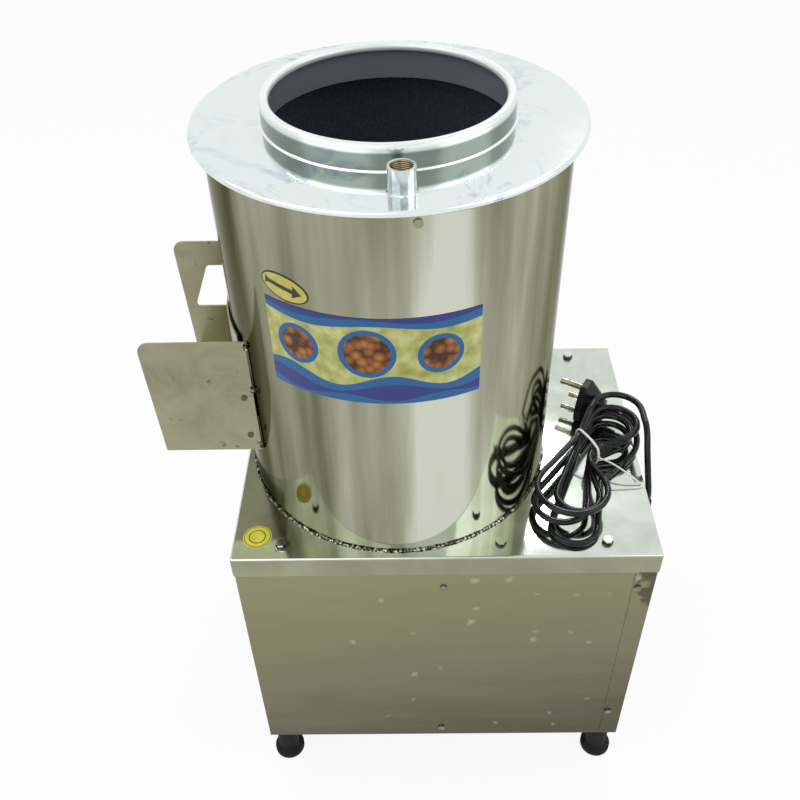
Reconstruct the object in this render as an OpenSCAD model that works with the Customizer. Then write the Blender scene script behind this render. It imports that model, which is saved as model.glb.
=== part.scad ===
// Potato peeling machine: an abrasive drum and disc on a sheet-metal base, belt driven from a motor in the base.
// Inside the modules x and y run from the drum's axis, and z from the top of the base cover.

/* [Base] */
// Width of the base cover, left to right
base_w = 472; // [460:1:520]
// Depth of the base cover, front to back
base_d = 366; // [364:1:420]
// Height of the cabinet, from its lower edge to the top of the cover
cabinet_h = 376; // [368:1:440]
// Height of the feet under the cabinet
foot_h = 62; // [50:1:80]
// Thickness of the cabinet sheet
cabinet_sheet = 1.2; // [0.8:0.1:2]
// Thickness of the cover sheet
cover_sheet = 1.5; // [1:0.1:2.5]
// Depth of the cover's skirt
skirt_h = 28; // [20:1:40]
// Play between the skirt and the cabinet
skirt_play = 0.5; // [0.3:0.1:1]
// Width of the cabinet's lower flange
flange_w = 12; // [8:1:16]
// Width of the service panel's front and rear flanges
panel_flange_w = 24; // [20:1:28]
// Gap at the seam between cabinet and service panel
seam_gap = 0.4; // [0.2:0.1:1]
// Inset of the feet from the cover's side edges
foot_inset_x = 21; // [20:1:24]
// Inset of the feet from the cover's front and rear edges
foot_inset_y = 20; // [20:1:24]
// Diameter of a foot's pad
foot_pad_d = 40; // [34:1:40]
// Diameter of a foot's neck
foot_neck_d = 28; // [22:1:32]
// Diameter of the foot bolts
foot_bolt_d = 10; // [8:1:12]

/* [Frame] */
// Leg width of the angle bars
angle_w = 30; // [28:1:34]
// Thickness of the angle bars
angle_t = 3; // [2:0.5:4]
// Side of the square foot plates
foot_plate_w = 44; // [40:1:50]
// Thickness of the foot plates
foot_plate_t = 4; // [3:0.5:6]
// Height of the support rails under the cover
rail_h = 30; // [26:1:36]
// Width of the support rails
rail_w = 36; // [32:1:40]
// Wall of the support rails
rail_t = 2.5; // [2:0.5:4]
// Least distance of the left support rail from the drum's axis
rail_left_min = 129; // [120:1:136]
// Least distance of the middle support rail from the drum's axis
rail_mid_min = 113; // [108:1:118]
// Distance of the right support rail from the cover's right edge
rail_right_inset = 58; // [54:1:62]
// Diameter of the cover bolts
cover_bolt_d = 6; // [5:1:10]
// Inset of the cover bolts from the cover's front and rear edges
cover_bolt_inset = 20; // [17:1:30]
// Diameter of the panel screws
panel_screw_d = 4; // [3:0.5:5]
// Inset of the service panel's screws from its side
panel_screw_inset = 18; // [12:1:20]
// Place of the two screws near the cabinet's middle
mid_screw_x = 50; // [20:1:90]
// Depth of the service panel's upper screws below the cover's top
panel_screw_upper = 58; // [50:1:80]
// Depth of the service panel's lower screws below the cover's top
panel_screw_lower = 320; // [280:1:330]

/* [Drum] */
// Outer diameter of the drum
drum_d = 350; // [344:1:352]
// Height of the drum, cover top to the top ring's top
drum_h = 423; // [400:1:480]
// Wall of the drum
drum_wall = 1.5; // [1:0.1:2]
// Distance of the drum's axis from the cover's left edge
drum_left = 184; // [182:1:190]
// Distance of the drum's axis from the cover's front edge
drum_front = 186; // [182:1:186]
// Size of the weld bead at the drum's foot
weld_r = 3.4; // [2:0.2:3.6]
// Thickness of the abrasive lining
lining_t = 6; // [4:0.5:8]
// Height of the lining's lower edge
lining_low = 62; // [58:1:66]
// Outer diameter of the drain spout
drain_d = 40; // [34:1:44]
// Wall of the drain spout
drain_wall = 2; // [1.5:0.5:3]
// Height of the drain spout's axis above the cover
drain_z = 30; // [27:1:34]
// Distance of the drain spout's end from the drum's axis
drain_reach = 205; // [195:1:240]

/* [Top] */
// Outer diameter of the top ring, over its rolled edge
ring_d = 373; // [364:1:390]
// Thickness of the top ring's sheet
ring_sheet = 1.5; // [1:0.1:2.5]
// Radius of the ring's rolled edge
hem_r = 3; // [2:0.5:4]
// Depth of the ring's spigot inside the drum
spigot_h = 25; // [22:1:32]
// Outer diameter of the feed collar
collar_d = 237; // [210:1:250]
// Height of the feed collar above the ring
collar_h = 24; // [18:1:40]
// Depth of the collar's tube below the ring
collar_skirt = 12; // [6:1:20]
// Height of the weld round the collar's foot
collar_bead = 2; // [1:0.5:3]
// Radius of the collar's rolled rim
rim_r = 4.5; // [3:0.5:6]
// Diameter of the ring screws
ring_screw_d = 4; // [3:0.5:5]
// Depth of the ring screws below the ring's top
ring_screw_drop = 17; // [14:1:20]
// Angle of the first ring screw from the front, towards the right
ring_screw_angle = 8.4; // [0:0.1:20]
// Outer diameter of the water socket
socket_d = 24; // [23:1:28]
// Bore of the water socket, half-inch pipe thread at its crests
socket_bore = 18.6; // [18:0.1:19]
// Height of the water socket above the ring
socket_h = 22; // [16:1:30]
// Place of the water socket, right of the drum's axis
socket_x = 13; // [0:1:20]
// Place of the water socket, behind the drum's axis
socket_y = -150; // [-154:1:-146]

/* [Outlet] */
// Clear width between the chute's cheeks
cheek_gap = 190; // [186:1:196]
// Thickness of the cheeks
cheek_sheet = 2; // [1.5:0.5:3]
// Distance of the cheeks' outer edge from the drum's axis
cheek_reach = 258; // [250:1:280]
// Distance that the outer edge leans towards the drum at its lower end
cheek_slant = 5; // [0:1:12]
// Height of the cheeks' lower edge above the cover
cheek_low = 82; // [81:1:83]
// Height of the cheeks' upper edge above the cover
cheek_high = 230; // [228:1:240]
// Radius of the cheeks' outer upper corner
cheek_corner = 12; // [4:1:20]
// Gap between the cheeks and the drum
cheek_slit = 1; // [0.6:0.1:1.5]
// Thickness of the chute floor
chute_sheet = 1.5; // [1:0.1:2]
// Front edge of the outlet in the drum
outlet_front = -70; // [-71:1:-60]
// Rear edge of the outlet in the drum
outlet_rear = 75; // [60:1:76]
// Height of the outlet's lower edge
outlet_low = 96; // [95:1:102]
// Height of the outlet's upper edge
outlet_high = 220; // [212:1:221]
// Thickness of the door
door_sheet = 1.5; // [1:0.1:2]
// Room between drum and door, for the gasket
door_gap = 2; // [1.6:0.1:2.4]
// Height of the door's lower edge
door_low = 86; // [85.5:0.5:88]
// Height of the door's upper edge
door_high = 227; // [225:1:228]
// Diameter of the hinge pin
hinge_pin_d = 3; // [2.5:0.1:3.4]
// Diameter of the hinge knuckles
knuckle_d = 7; // [6:0.5:7]
// Length of the hinge
hinge_len = 75; // [70:1:80]
// Height of the hinge's lower end
hinge_low = 93; // [91:1:96]
// Angle of the latch on the door, from the left towards the rear
latch_angle = 20; // [18:1:21]
// Height of the latch pivot
latch_z = 188; // [186:1:190]
// Length of the latch tongue
tongue_len = 48; // [46:1:50]
// Width of the latch tongue
tongue_w = 12; // [10:1:13]
// Thickness of the latch lever
lever_t = 3; // [2:0.5:3.5]
// Diameter of the latch pivot
latch_pin_d = 8; // [6:1:9]

/* [Drive] */
// Diameter of the peeling disc
disc_d = 326; // [300:1:328]
// Height of the disc's face above the cover
disc_top = 76; // [74:1:78]
// Thickness of the disc
disc_t = 8; // [6:1:10]
// Height of the disc's ridges
ridge_h = 5; // [3:0.5:6]
// Diameter of the main shaft
shaft_d = 25; // [22:1:28]
// Outer diameter of the shaft bearings
bearing_d = 52; // [48:1:56]
// Width of the shaft bearings
bearing_w = 15; // [12:1:17]
// Outer diameter of the bearing housing
housing_d = 72; // [66:1:80]
// Thickness of the bearing bridge
bridge_t = 6; // [5:1:8]
// Diameter of the driven pulley
pulley_d = 200; // [160:1:206]
// Diameter of the motor pulley
motor_pulley_d = 63; // [56:1:75]
// Width of the pulleys
pulley_w = 22; // [18:1:24]
// Height of the belt's middle below the cover's top
belt_drop = 131; // [129:1:133]
// Diameter of the motor
motor_d = 150; // [130:1:156]
// Height of the motor's housing
motor_h = 154; // [140:1:160]
// Diameter of the motor shaft
motor_shaft_d = 19; // [16:1:22]
// Thickness of the motor plate
motor_plate_t = 6; // [5:1:8]
// Diameter of the hanger bolts
hanger_d = 10; // [8:1:12]

/* [Cord] */
// Diameter of the mains lead
cord_d = 7.6; // [7:0.1:7.8]
// Diameter of the plug's earth pin
earth_pin_d = 8.7; // [8:0.1:9]
// Diameter of the plug's line pins
line_pin_d = 7; // [6:0.1:7.4]

/* [Fits] */
// Radial play of shafts and pins that turn
running_play = 0.05; // [0.02:0.01:0.09]
// Radial play of seats that stay put
seat_play = 0.05; // [0.02:0.01:0.09]
// Radial play round bolts and screws
bolt_play = 0.3; // [0.2:0.05:0.5]
// Clear distance between pieces that pass each other
clear = 0.3; // [0.2:0.05:0.5]

/* [Hidden] */
$fn = 64;

// Edges of the cover and the cabinet, and heights of the frame
cover_x0 = -drum_left;
cover_x1 = base_w - drum_left;
cover_y0 = -drum_front;
cover_y1 = base_d - drum_front;
cabinet_inset = cover_sheet + skirt_play;
cab_x0 = cover_x0 + cabinet_inset;
cab_x1 = cover_x1 - cabinet_inset;
cab_y0 = cover_y0 + cabinet_inset;
cab_y1 = cover_y1 - cabinet_inset;
in_x0 = cab_x0 + cabinet_sheet;
in_x1 = cab_x1 - cabinet_sheet;
in_y0 = cab_y0 + cabinet_sheet;
in_y1 = cab_y1 - cabinet_sheet;
cab_z0 = -cabinet_h;
cab_z1 = -cover_sheet - skirt_play;
frame_z0 = cab_z0 + cabinet_sheet;
rail_z1 = -cover_sheet;
rail_z0 = rail_z1 - rail_h;
seam_x = cab_x1 - panel_flange_w;
foot_xs = [cover_x0 + foot_inset_x, cover_x1 - foot_inset_x];
foot_ys = [cover_y0 + foot_inset_y, cover_y1 - foot_inset_y];
foot_bolt_depth = foot_h * 0.6;
cover_bolt_ys = [cover_y0 + cover_bolt_inset, cover_y1 - cover_bolt_inset];
washer_t = 1.6;
washer_d = 2.1 * cover_bolt_d;
washer_gap = 8;
bolt_reach = drum_d / 2 + weld_r + washer_gap + washer_d / 2;
bolt_y = min(-cover_bolt_ys[0], cover_bolt_ys[1]);
rail_clear = sqrt(max(0, pow(bolt_reach, 2) - pow(bolt_y, 2)));
rail_left = -max(rail_left_min, rail_clear);
rail_mid = max(rail_mid_min, rail_clear);
rail_right = cover_x1 - rail_right_inset;
rail_xs = [rail_left, rail_mid, rail_right];
screw_head_h = 1.8;
screw_places = [
  [mid_screw_x, rail_z0 - angle_w * 0.75],
  [mid_screw_x, frame_z0 + angle_w * 0.55],
  [cab_x1 - panel_screw_inset, -panel_screw_upper],
  [cab_x1 - panel_screw_inset, -panel_screw_lower]
];

// The part stands on its feet, with its origin under the middle of its footprint
drum_x = (cheek_reach - cover_x1) / 2;
drum_y = (drum_front - max(cover_y1, drain_reach)) / 2;
cover_z = cabinet_h + foot_h;

// Drum, ring and collar
drum_r = drum_d / 2;
drum_in = drum_r - drum_wall;
drum_top = drum_h - ring_sheet;
lining_out = drum_in - clear;
lining_in = lining_out - lining_t;
spigot_wall = 1.8;
lining_high = drum_top - spigot_h - 4;
ring_r = ring_d / 2;
collar_r = collar_d / 2;
collar_wall = 1.5;
ring_screw_z = drum_h - ring_screw_drop;

// Door, hinge and latch, by angle from the left towards the rear
door_in = drum_r + door_gap;
door_out = door_in + door_sheet;
door_a0 = -27.5;
door_a1 = 29.5;
leaf_t = 1.5;
tack_r = 2.6;
tack_h = 6;
tack_end = 9;
cheek_face = cheek_gap / 2;
cheek_edge = sqrt(pow(drum_r, 2) - pow(cheek_face, 2)) + cheek_slit;
hinge_x = -172;
hinge_y = -cheek_face + 4;
knuckle_h = hinge_len / 4;
hinge_rivet_x = -158;
hinge_rivet_zs = [hinge_low + 11, hinge_low + hinge_len - 11];
hinge_rivet_r = 2;
door_rivet_zs = [hinge_low + hinge_len / 2 - 11, hinge_low + hinge_len / 2 + 11];
door_leaf_a1 = -16;
door_rivet_a = -21;
leaf_r0 = door_out + seat_play;
leaf_r1 = leaf_r0 + leaf_t;
lever_r0 = door_out + 3;
lever_r1 = lever_r0 + lever_t;
window_low = 140;
window_high = 198;
window_inner = -196;
window_outer_low = -244.5;
window_outer_high = -222.5;

// Drive: the motor hangs midway between the middle and the right rail
motor_x = (rail_mid + rail_right) / 2;
disc_seat = disc_top - disc_t;
shaft_flange_t = 8;
shaft_flange_over = 18;
stud_over = 14;
stud_r = 8;
housing_top = 20;
housing_flange_t = 10;
bridge_z0 = rail_z0 - bridge_t;
housing_flange_z0 = bridge_z0 - housing_flange_t;
bearing_high_z = -bearing_w - 1;
bearing_low_z = -belt_drop + pulley_w / 2 + 7;
housing_z0 = bearing_low_z - 2;
bearing_bolt_pcd = housing_d + 28;
bridge_w = bearing_bolt_pcd + 20;
belt_w = 11;
belt_h = 8;
groove_w = 12;
groove_depth = 9;
pulley_web = 12;
belt_lift = 0.3;
plate_z1 = -belt_drop - pulley_w / 2 - 8;
plate_z0 = plate_z1 - motor_plate_t;
motor_z0 = plate_z0 - motor_h;
fan_t = 12;
fan_room = 25;
blade_t = 2;
blade_end = 3;
fan_cover_h = 40;
hanger_y = 85;
plate_over = 5;
plate_edge = rail_right + rail_w / 2 + plate_over;

// Colours of the metals and plastics
steel = [0.78, 0.78, 0.75];
dark_steel = [0.35, 0.36, 0.38];
black = [0.06, 0.06, 0.07];

module at_drum() {
  translate([drum_x, drum_y, cover_z]) children();
}

// A hexagon bolt or nut head, by its width across flats
module hex(flats, h) {
  cylinder(d = flats / cos(30), h = h, $fn = 6);
}

module at_feet() {
  for (x = foot_xs, y = foot_ys) translate([x, y, 0]) children();
}

// The front and the rear of the cabinet, with +y pointing into it
module front_and_rear() {
  translate([0, cab_y0, 0]) children();
  translate([0, cab_y1, 0]) mirror([0, 1, 0]) children();
}

module screw_holes() {
  front_and_rear()
    for (s = screw_places) translate([s[0], -1, s[1]]) rotate([-90, 0, 0])
      cylinder(d = panel_screw_d + 2 * bolt_play, h = angle_t + cabinet_sheet + 6);
}

module foot_bolt_holes() {
  at_feet() translate([0, 0, cab_z0 - 1]) cylinder(d = foot_bolt_d + 2 * bolt_play, h = foot_plate_t + 4);
}

module rubber_feet() {
  pad_r = foot_pad_d / 2;
  neck_r = foot_neck_d / 2;
  color(black) at_drum() at_feet() translate([0, 0, cab_z0 - foot_h]) difference() {
    rotate_extrude() polygon([
      [0, 0], [pad_r - 1.5, 0], [pad_r, 1.5], [pad_r, 8], [pad_r - 1.5, 10], [neck_r, 13], [neck_r, foot_h],
      [0, foot_h]
    ]);
    translate([0, 0, foot_h - foot_bolt_depth])
      cylinder(d = foot_bolt_d + 2 * seat_play, h = foot_bolt_depth + 1);
  }
}

module foot_bolts() {
  top = frame_z0 + foot_plate_t;
  color(steel) at_drum() at_feet() {
    translate([0, 0, cab_z0 - foot_bolt_depth + 1])
      cylinder(d = foot_bolt_d, h = top - cab_z0 + foot_bolt_depth - 1);
    translate([0, 0, top]) hex(16, 6.4);
  }
}

module corner_post() {
  translate([0, 0, frame_z0]) linear_extrude(rail_z0 - frame_z0) difference() {
    square(angle_w);
    translate([angle_t, angle_t]) square(angle_w);
  }
  translate([0, 0, frame_z0]) cube([foot_plate_w, foot_plate_w, foot_plate_t]);
}

module corner_posts() {
  color(dark_steel) at_drum() difference() {
    for (right = [0, 1], rear = [0, 1])
      translate([right ? in_x1 : in_x0, rear ? in_y1 : in_y0, 0])
        mirror([right, 0, 0]) mirror([0, rear, 0]) corner_post();
    screw_holes();
    foot_bolt_holes();
  }
}

// An angle bar along x, its corner edge on the x axis, with one leg upright and one lying
module angle_bar(len, upright) {
  translate([0, 0, min(0, upright)]) cube([len, angle_t, abs(upright)]);
  translate([0, 0, upright > 0 ? 0 : -angle_t]) cube([len, angle_w, angle_t]);
}

module lower_rails() {
  x0 = in_x0 + foot_plate_w;
  y0 = in_y0 + foot_plate_w;
  color(dark_steel) at_drum() difference() {
    union() {
      front_and_rear() translate([x0, cabinet_sheet, frame_z0])
        angle_bar(in_x1 - foot_plate_w - x0, angle_w);
      for (right = [0, 1]) translate([right ? in_x1 : in_x0, y0, frame_z0]) mirror([right, 0, 0])
        mirror([0, 1, 0]) rotate([0, 0, -90]) angle_bar(in_y1 - foot_plate_w - y0, angle_w);
    }
    screw_holes();
  }
}

module upper_rails() {
  color(dark_steel) at_drum() difference() {
    front_and_rear() translate([in_x0 + angle_w, cabinet_sheet, rail_z0])
      angle_bar(in_x1 - in_x0 - 2 * angle_w, -angle_w);
    screw_holes();
  }
}

module cover_bolt_holes() {
  for (x = rail_xs, y = cover_bolt_ys) translate([x, y, -cover_sheet - rail_t - 1])
    cylinder(d = cover_bolt_d + 2 * bolt_play, h = cover_sheet + rail_t + 2);
}

module support_rails() {
  color(dark_steel) at_drum() difference() {
    for (x = rail_xs) translate([x - rail_w / 2, in_y0 + clear, rail_z0])
      cube([rail_w, in_y1 - in_y0 - 2 * clear, rail_h]);
    for (x = rail_xs) translate([x - rail_w / 2 + rail_t, in_y0 - 1, rail_z0 - 1])
      cube([rail_w - 2 * rail_t, in_y1 - in_y0 + 2, rail_h - rail_t + 1]);
    cover_bolt_holes();
  }
}

module cabinet_outline(inset) {
  translate([cab_x0 + inset, cab_y0 + inset])
    square([cab_x1 - cab_x0 - 2 * inset, cab_y1 - cab_y0 - 2 * inset]);
}

// The bent sheet round the four sides, with its lower flange
module cabinet_wrap() {
  translate([0, 0, cab_z0]) linear_extrude(cab_z1 - cab_z0) difference() {
    cabinet_outline(0);
    cabinet_outline(cabinet_sheet);
  }
  translate([0, 0, cab_z0]) linear_extrude(cabinet_sheet) difference() {
    cabinet_outline(0);
    cabinet_outline(flange_w);
  }
}

module right_of(x) {
  translate([x, cover_y0 - 1, cab_z0 - 1]) cube([base_w, base_d + 2, cabinet_h + 2]);
}

module base_cabinet() {
  color(steel) at_drum() difference() {
    cabinet_wrap();
    right_of(seam_x);
    screw_holes();
    foot_bolt_holes();
  }
}

module service_panel() {
  color(steel) at_drum() difference() {
    intersection() {
      cabinet_wrap();
      right_of(seam_x + seam_gap);
    }
    screw_holes();
    foot_bolt_holes();
    translate([cab_x1 - cabinet_sheet - 1, gland_y, gland_z]) rotate([0, 90, 0])
      cylinder(r = gland_neck_r + seat_play, h = cabinet_sheet + 2);
  }
}

module panel_screws() {
  color(steel) at_drum() front_and_rear() for (s = screw_places) translate([s[0], 0, s[1]]) {
    rotate([90, 0, 0]) cylinder(d = 2.1 * panel_screw_d, h = screw_head_h);
    rotate([-90, 0, 0]) cylinder(d = panel_screw_d, h = angle_t + cabinet_sheet + 3);
  }
}

module top_cover() {
  color(steel) at_drum() difference() {
    translate([cover_x0, cover_y0, -skirt_h]) cube([base_w, base_d, skirt_h]);
    translate([cover_x0 + cover_sheet, cover_y0 + cover_sheet, -skirt_h - 1])
      cube([base_w - 2 * cover_sheet, base_d - 2 * cover_sheet, skirt_h + 1 - cover_sheet]);
    translate([0, 0, -cover_sheet - 1]) cylinder(d = housing_d + 2 * bolt_play, h = cover_sheet + 2);
    cover_bolt_holes();
  }
}

module cover_washers() {
  color(steel) at_drum() for (x = rail_xs, y = cover_bolt_ys) translate([x, y, 0]) difference() {
    cylinder(d = washer_d, h = washer_t);
    translate([0, 0, -1]) cylinder(d = cover_bolt_d + 2 * bolt_play, h = washer_t + 2);
  }
}

module cover_bolts() {
  shank = washer_t + cover_sheet + rail_t + 10;
  color(steel) at_drum() for (x = rail_xs, y = cover_bolt_ys) translate([x, y, washer_t]) {
    translate([0, 0, -shank]) cylinder(d = cover_bolt_d, h = shank);
    hex(1.625 * cover_bolt_d, 0.65 * cover_bolt_d);
  }
}

// The block that cuts the outlet out of a round wall
module outlet_cut(grow) {
  translate([-drum_r - 20, outlet_front - grow, outlet_low - grow])
    cube([60, outlet_rear - outlet_front + 2 * grow, outlet_high - outlet_low + 2 * grow]);
}

// Places of the ring screws, with +x pointing outwards
module at_ring_screws() {
  for (k = [0:3]) rotate([0, 0, ring_screw_angle - 90 + 90 * k]) translate([drum_r, 0, ring_screw_z])
    children();
}

module ring_screw_holes() {
  at_ring_screws() rotate([0, -90, 0]) translate([0, 0, -1])
    cylinder(d = ring_screw_d + 2 * bolt_play, h = drum_wall + clear + spigot_wall + 3);
}

module drum_shell() {
  color(steel) at_drum() difference() {
    cylinder(r = drum_r, h = drum_top, $fn = 180);
    translate([0, 0, -1]) cylinder(r = drum_in, h = drum_top + 2, $fn = 180);
    outlet_cut(0);
    ring_screw_holes();
    translate([0, 0, drain_z]) rotate([-90, 0, 0]) cylinder(d = drain_d - 2 * drain_wall + 2 * clear, h = drum_d);
  }
}

module drum_weld() {
  color(dark_steel) at_drum() rotate_extrude($fn = 180) intersection() {
    translate([drum_r, 0]) circle(weld_r);
    translate([drum_r, 0]) square(weld_r);
  }
}

module drum_lining() {
  color(black) at_drum() difference() {
    translate([0, 0, lining_low]) cylinder(r = lining_out, h = lining_high - lining_low, $fn = 180);
    translate([0, 0, lining_low - 1]) cylinder(r = lining_in, h = lining_high - lining_low + 2, $fn = 180);
    outlet_cut(1);
  }
}

module top_ring() {
  color(steel) at_drum() difference() {
    rotate_extrude($fn = 180) {
      translate([collar_r + clear, drum_top]) square([ring_r - hem_r - collar_r - clear, ring_sheet]);
      translate([ring_r - hem_r, drum_h - hem_r]) circle(hem_r);
      translate([drum_in - clear - spigot_wall, drum_top - spigot_h]) square([spigot_wall, spigot_h]);
    }
    ring_screw_holes();
    translate([socket_x, socket_y, drum_top - 1]) cylinder(d = socket_bore - 3, h = ring_sheet + 2);
  }
}

module ring_screws() {
  color(steel) at_drum() at_ring_screws() {
    rotate([0, 90, 0]) cylinder(d = 2.1 * ring_screw_d, h = screw_head_h);
    rotate([0, -90, 0]) cylinder(d = ring_screw_d, h = drum_wall + clear + spigot_wall + 1);
  }
}

// The collar's tube goes down through the ring, and the weld round its foot rests on the ring
module feed_collar() {
  skirt_z = drum_top - collar_skirt;
  color(steel) at_drum() rotate_extrude($fn = 180) {
    translate([collar_r - collar_wall, skirt_z]) square([collar_wall, drum_h + collar_h - rim_r - skirt_z]);
    translate([collar_r - rim_r, drum_h + collar_h - rim_r]) circle(rim_r);
    polygon([
      [collar_r - collar_wall / 2, drum_h], [collar_r + collar_bead, drum_h],
      [collar_r + 0.3 * collar_bead, drum_h + 0.7 * collar_bead], [collar_r - collar_wall / 2, drum_h + collar_bead]
    ]);
  }
}

module water_socket() {
  color(steel) at_drum() translate([socket_x, socket_y, drum_h]) difference() {
    union() {
      cylinder(d = socket_d, h = socket_h);
      cylinder(d1 = socket_d + 3, d2 = socket_d, h = 1.5);
    }
    translate([0, 0, -1]) cylinder(d = socket_bore, h = socket_h + 2);
  }
}

module drain_spout() {
  color(steel) at_drum() difference() {
    translate([0, 0, drain_z]) rotate([-90, 0, 0]) {
      cylinder(d = drain_d, h = drain_reach);
      translate([0, 0, drain_reach - 4]) cylinder(d = drain_d + 3, h = 4);
    }
    translate([0, 0, drain_z]) rotate([-90, 0, 0]) translate([0, 0, -1])
      cylinder(d = drain_d - 2 * drain_wall, h = drain_reach + 2);
    translate([0, 0, -1]) cylinder(r = drum_r, h = 2 * drain_z + 2, $fn = 180);
  }
}

function unit(v) = v / norm(v);

// The arc that rounds the corner b between a and c, or b itself where the radius is zero
function corner_arc(a, b, c, r, steps = 6) =
  r == 0 ? [b] :
  let (
    u = unit(a - b),
    v = unit(c - b),
    half = acos(u * v) / 2,
    o = b + unit(u + v) * r / sin(half),
    s = b + u * r / tan(half) - o,
    e = b + v * r / tan(half) - o,
    turn = atan2(s[0] * e[1] - s[1] * e[0], s * e),
    start = atan2(s[1], s[0])
  )
  [for (k = [0:steps]) o + r * [cos(start + turn * k / steps), sin(start + turn * k / steps)]];

function rounded(points, radii) =
  let (n = len(points))
  [for (i = [0:n - 1]) each corner_arc(points[(i + n - 1) % n], points[i], points[(i + 1) % n], radii[i])];

module cheek_blank() {
  rotate([90, 0, 0]) linear_extrude(cheek_sheet) polygon(rounded(
    [
      [-cheek_edge, cheek_low], [-cheek_edge, cheek_high], [-cheek_reach, cheek_high],
      [-cheek_reach + cheek_slant, cheek_low]
    ],
    [0, 0, cheek_corner, 0]
  ));
}

module cheek_front_place() {
  translate([0, -cheek_face, 0]) children();
}

module cheek_rear_place() {
  translate([0, cheek_face + cheek_sheet, 0]) children();
}

module hinge_rivet_holes() {
  for (z = hinge_rivet_zs) translate([hinge_rivet_x, -cheek_face - cheek_sheet - 1, z]) rotate([-90, 0, 0])
    cylinder(r = hinge_rivet_r + seat_play, h = cheek_sheet + leaf_t + 2);
}

module chute_cheek_front() {
  color(steel) at_drum() difference() {
    cheek_front_place() cheek_blank();
    hinge_rivet_holes();
  }
}

// The rear cheek has a hand window, and nearer the drum a slot that the latch tongue swings into
module chute_cheek_rear() {
  cut = cheek_sheet + 2;
  lever_mid = lever_r0 + lever_t / 2;
  slot_mid = -lever_mid * cos(latch_angle)
    + (cheek_face + cheek_sheet / 2 - lever_mid * sin(latch_angle)) * tan(latch_angle);
  slot_w = lever_t + 10;
  slot_low = latch_z - (cheek_face - lever_r0 * sin(latch_angle)) / cos(latch_angle) - tongue_w;
  color(steel) at_drum() difference() {
    cheek_rear_place() cheek_blank();
    translate([0, 1, 0]) cheek_rear_place() rotate([90, 0, 0]) linear_extrude(cut) polygon(rounded(
      [
        [window_inner, window_low], [window_inner, window_high], [window_outer_high, window_high],
        [window_outer_low, window_low]
      ],
      [3, 3, 4, 4]
    ));
    translate([slot_mid - slot_w / 2, cheek_face - 1, slot_low])
      cube([slot_w, cut, latch_z + tongue_w / 2 + 3 - slot_low]);
  }
}

module cheek_welds() {
  color(dark_steel) at_drum()
    for (side = [-1, 1], z = [cheek_low + 4, (cheek_low + cheek_high) / 2 + tack_end, cheek_high - tack_end])
    difference() {
      translate([-cheek_edge + 0.5, side * (cheek_face + cheek_sheet), z]) cylinder(r = tack_r, h = tack_h);
      translate([0, 0, z - 1]) cylinder(r = drum_r + seat_play, h = tack_h + 2, $fn = 180);
      translate([-cheek_reach, side > 0 ? cheek_face - 2 * tack_r : -cheek_face - cheek_sheet, z - 1])
        cube([cheek_reach, cheek_sheet + 2 * tack_r, tack_h + 2]);
    }
}

module chute_floor() {
  color(steel) at_drum() difference() {
    translate([-cheek_reach + cheek_slant + 4, -cheek_face, cheek_low])
      cube([cheek_reach - cheek_edge, cheek_gap, chute_sheet]);
    translate([0, 0, cheek_low - 1]) cylinder(r = drum_r + clear, h = chute_sheet + 2, $fn = 180);
  }
}

// A curved plate round the drum's axis, between two angles from the left towards the rear
module arc_plate(r0, r1, z0, z1, a0, a1) {
  rotate([0, 0, 180 - a1]) rotate_extrude(angle = a1 - a0, $fn = 180) translate([r0, z0])
    square([r1 - r0, z1 - z0]);
}

// Turns +x outwards at an angle from the left towards the rear
module facing(angle) {
  rotate([0, 0, 180 - angle]) children();
}

module door_rivet_holes() {
  for (z = door_rivet_zs) facing(door_rivet_a) translate([door_in - 1, 0, z]) rotate([0, 90, 0])
    cylinder(r = hinge_rivet_r + seat_play, h = door_sheet + leaf_t + 3);
}

module outlet_door() {
  color(steel) at_drum() difference() {
    arc_plate(door_in, door_out, door_low, door_high, door_a0, door_a1);
    door_rivet_holes();
  }
}

module door_gasket() {
  color(black) at_drum() difference() {
    arc_plate(drum_r + clear, door_in - seat_play, door_low + 1, door_high - 1, door_a0 + 0.5, door_a1 - 0.5);
    outlet_cut(2);
  }
}

module hinge_bore(h) {
  translate([hinge_x, hinge_y, -1]) cylinder(d = hinge_pin_d + 2 * running_play, h = h + 2);
}

module hinge_cheek_leaf() {
  color(steel) at_drum() difference() {
    translate([0, 0, hinge_low]) difference() {
      union() {
        translate([hinge_x, -cheek_face, 0]) cube([22, leaf_t, hinge_len]);
        translate([hinge_x, hinge_y, 0]) cylinder(d = knuckle_d, h = hinge_len);
      }
      translate([hinge_x - knuckle_d, -cheek_face - 1, knuckle_h])
        cube([1.5 * knuckle_d + 1.5, knuckle_d + 2, hinge_len - 2 * knuckle_h]);
      hinge_bore(hinge_len);
    }
    hinge_rivet_holes();
  }
}

module hinge_door_leaf() {
  low = hinge_low + knuckle_h + clear;
  tall = hinge_len - 2 * knuckle_h - 2 * clear;
  root_a = door_a0 + 1;
  root = (leaf_r0 + leaf_t / 2) * [-cos(root_a), sin(root_a)];
  web = root - [hinge_x, hinge_y];
  color(steel) at_drum() difference() {
    union() {
      arc_plate(leaf_r0, leaf_r1, low, low + tall, door_a0 + 0.5, door_leaf_a1);
      translate([hinge_x, hinge_y, low]) {
        cylinder(d = knuckle_d, h = tall);
        rotate([0, 0, atan2(web[1], web[0])]) translate([0, -leaf_t / 2, 0]) cube([norm(web), leaf_t, tall]);
      }
    }
    translate([0, 0, low]) hinge_bore(tall);
    door_rivet_holes();
  }
}

module hinge_pin() {
  color(steel) at_drum() translate([hinge_x, hinge_y, hinge_low]) {
    cylinder(d = hinge_pin_d, h = hinge_len);
    translate([0, 0, hinge_len]) cylinder(d = 1.7 * hinge_pin_d, h = 1.5);
  }
}

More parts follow.
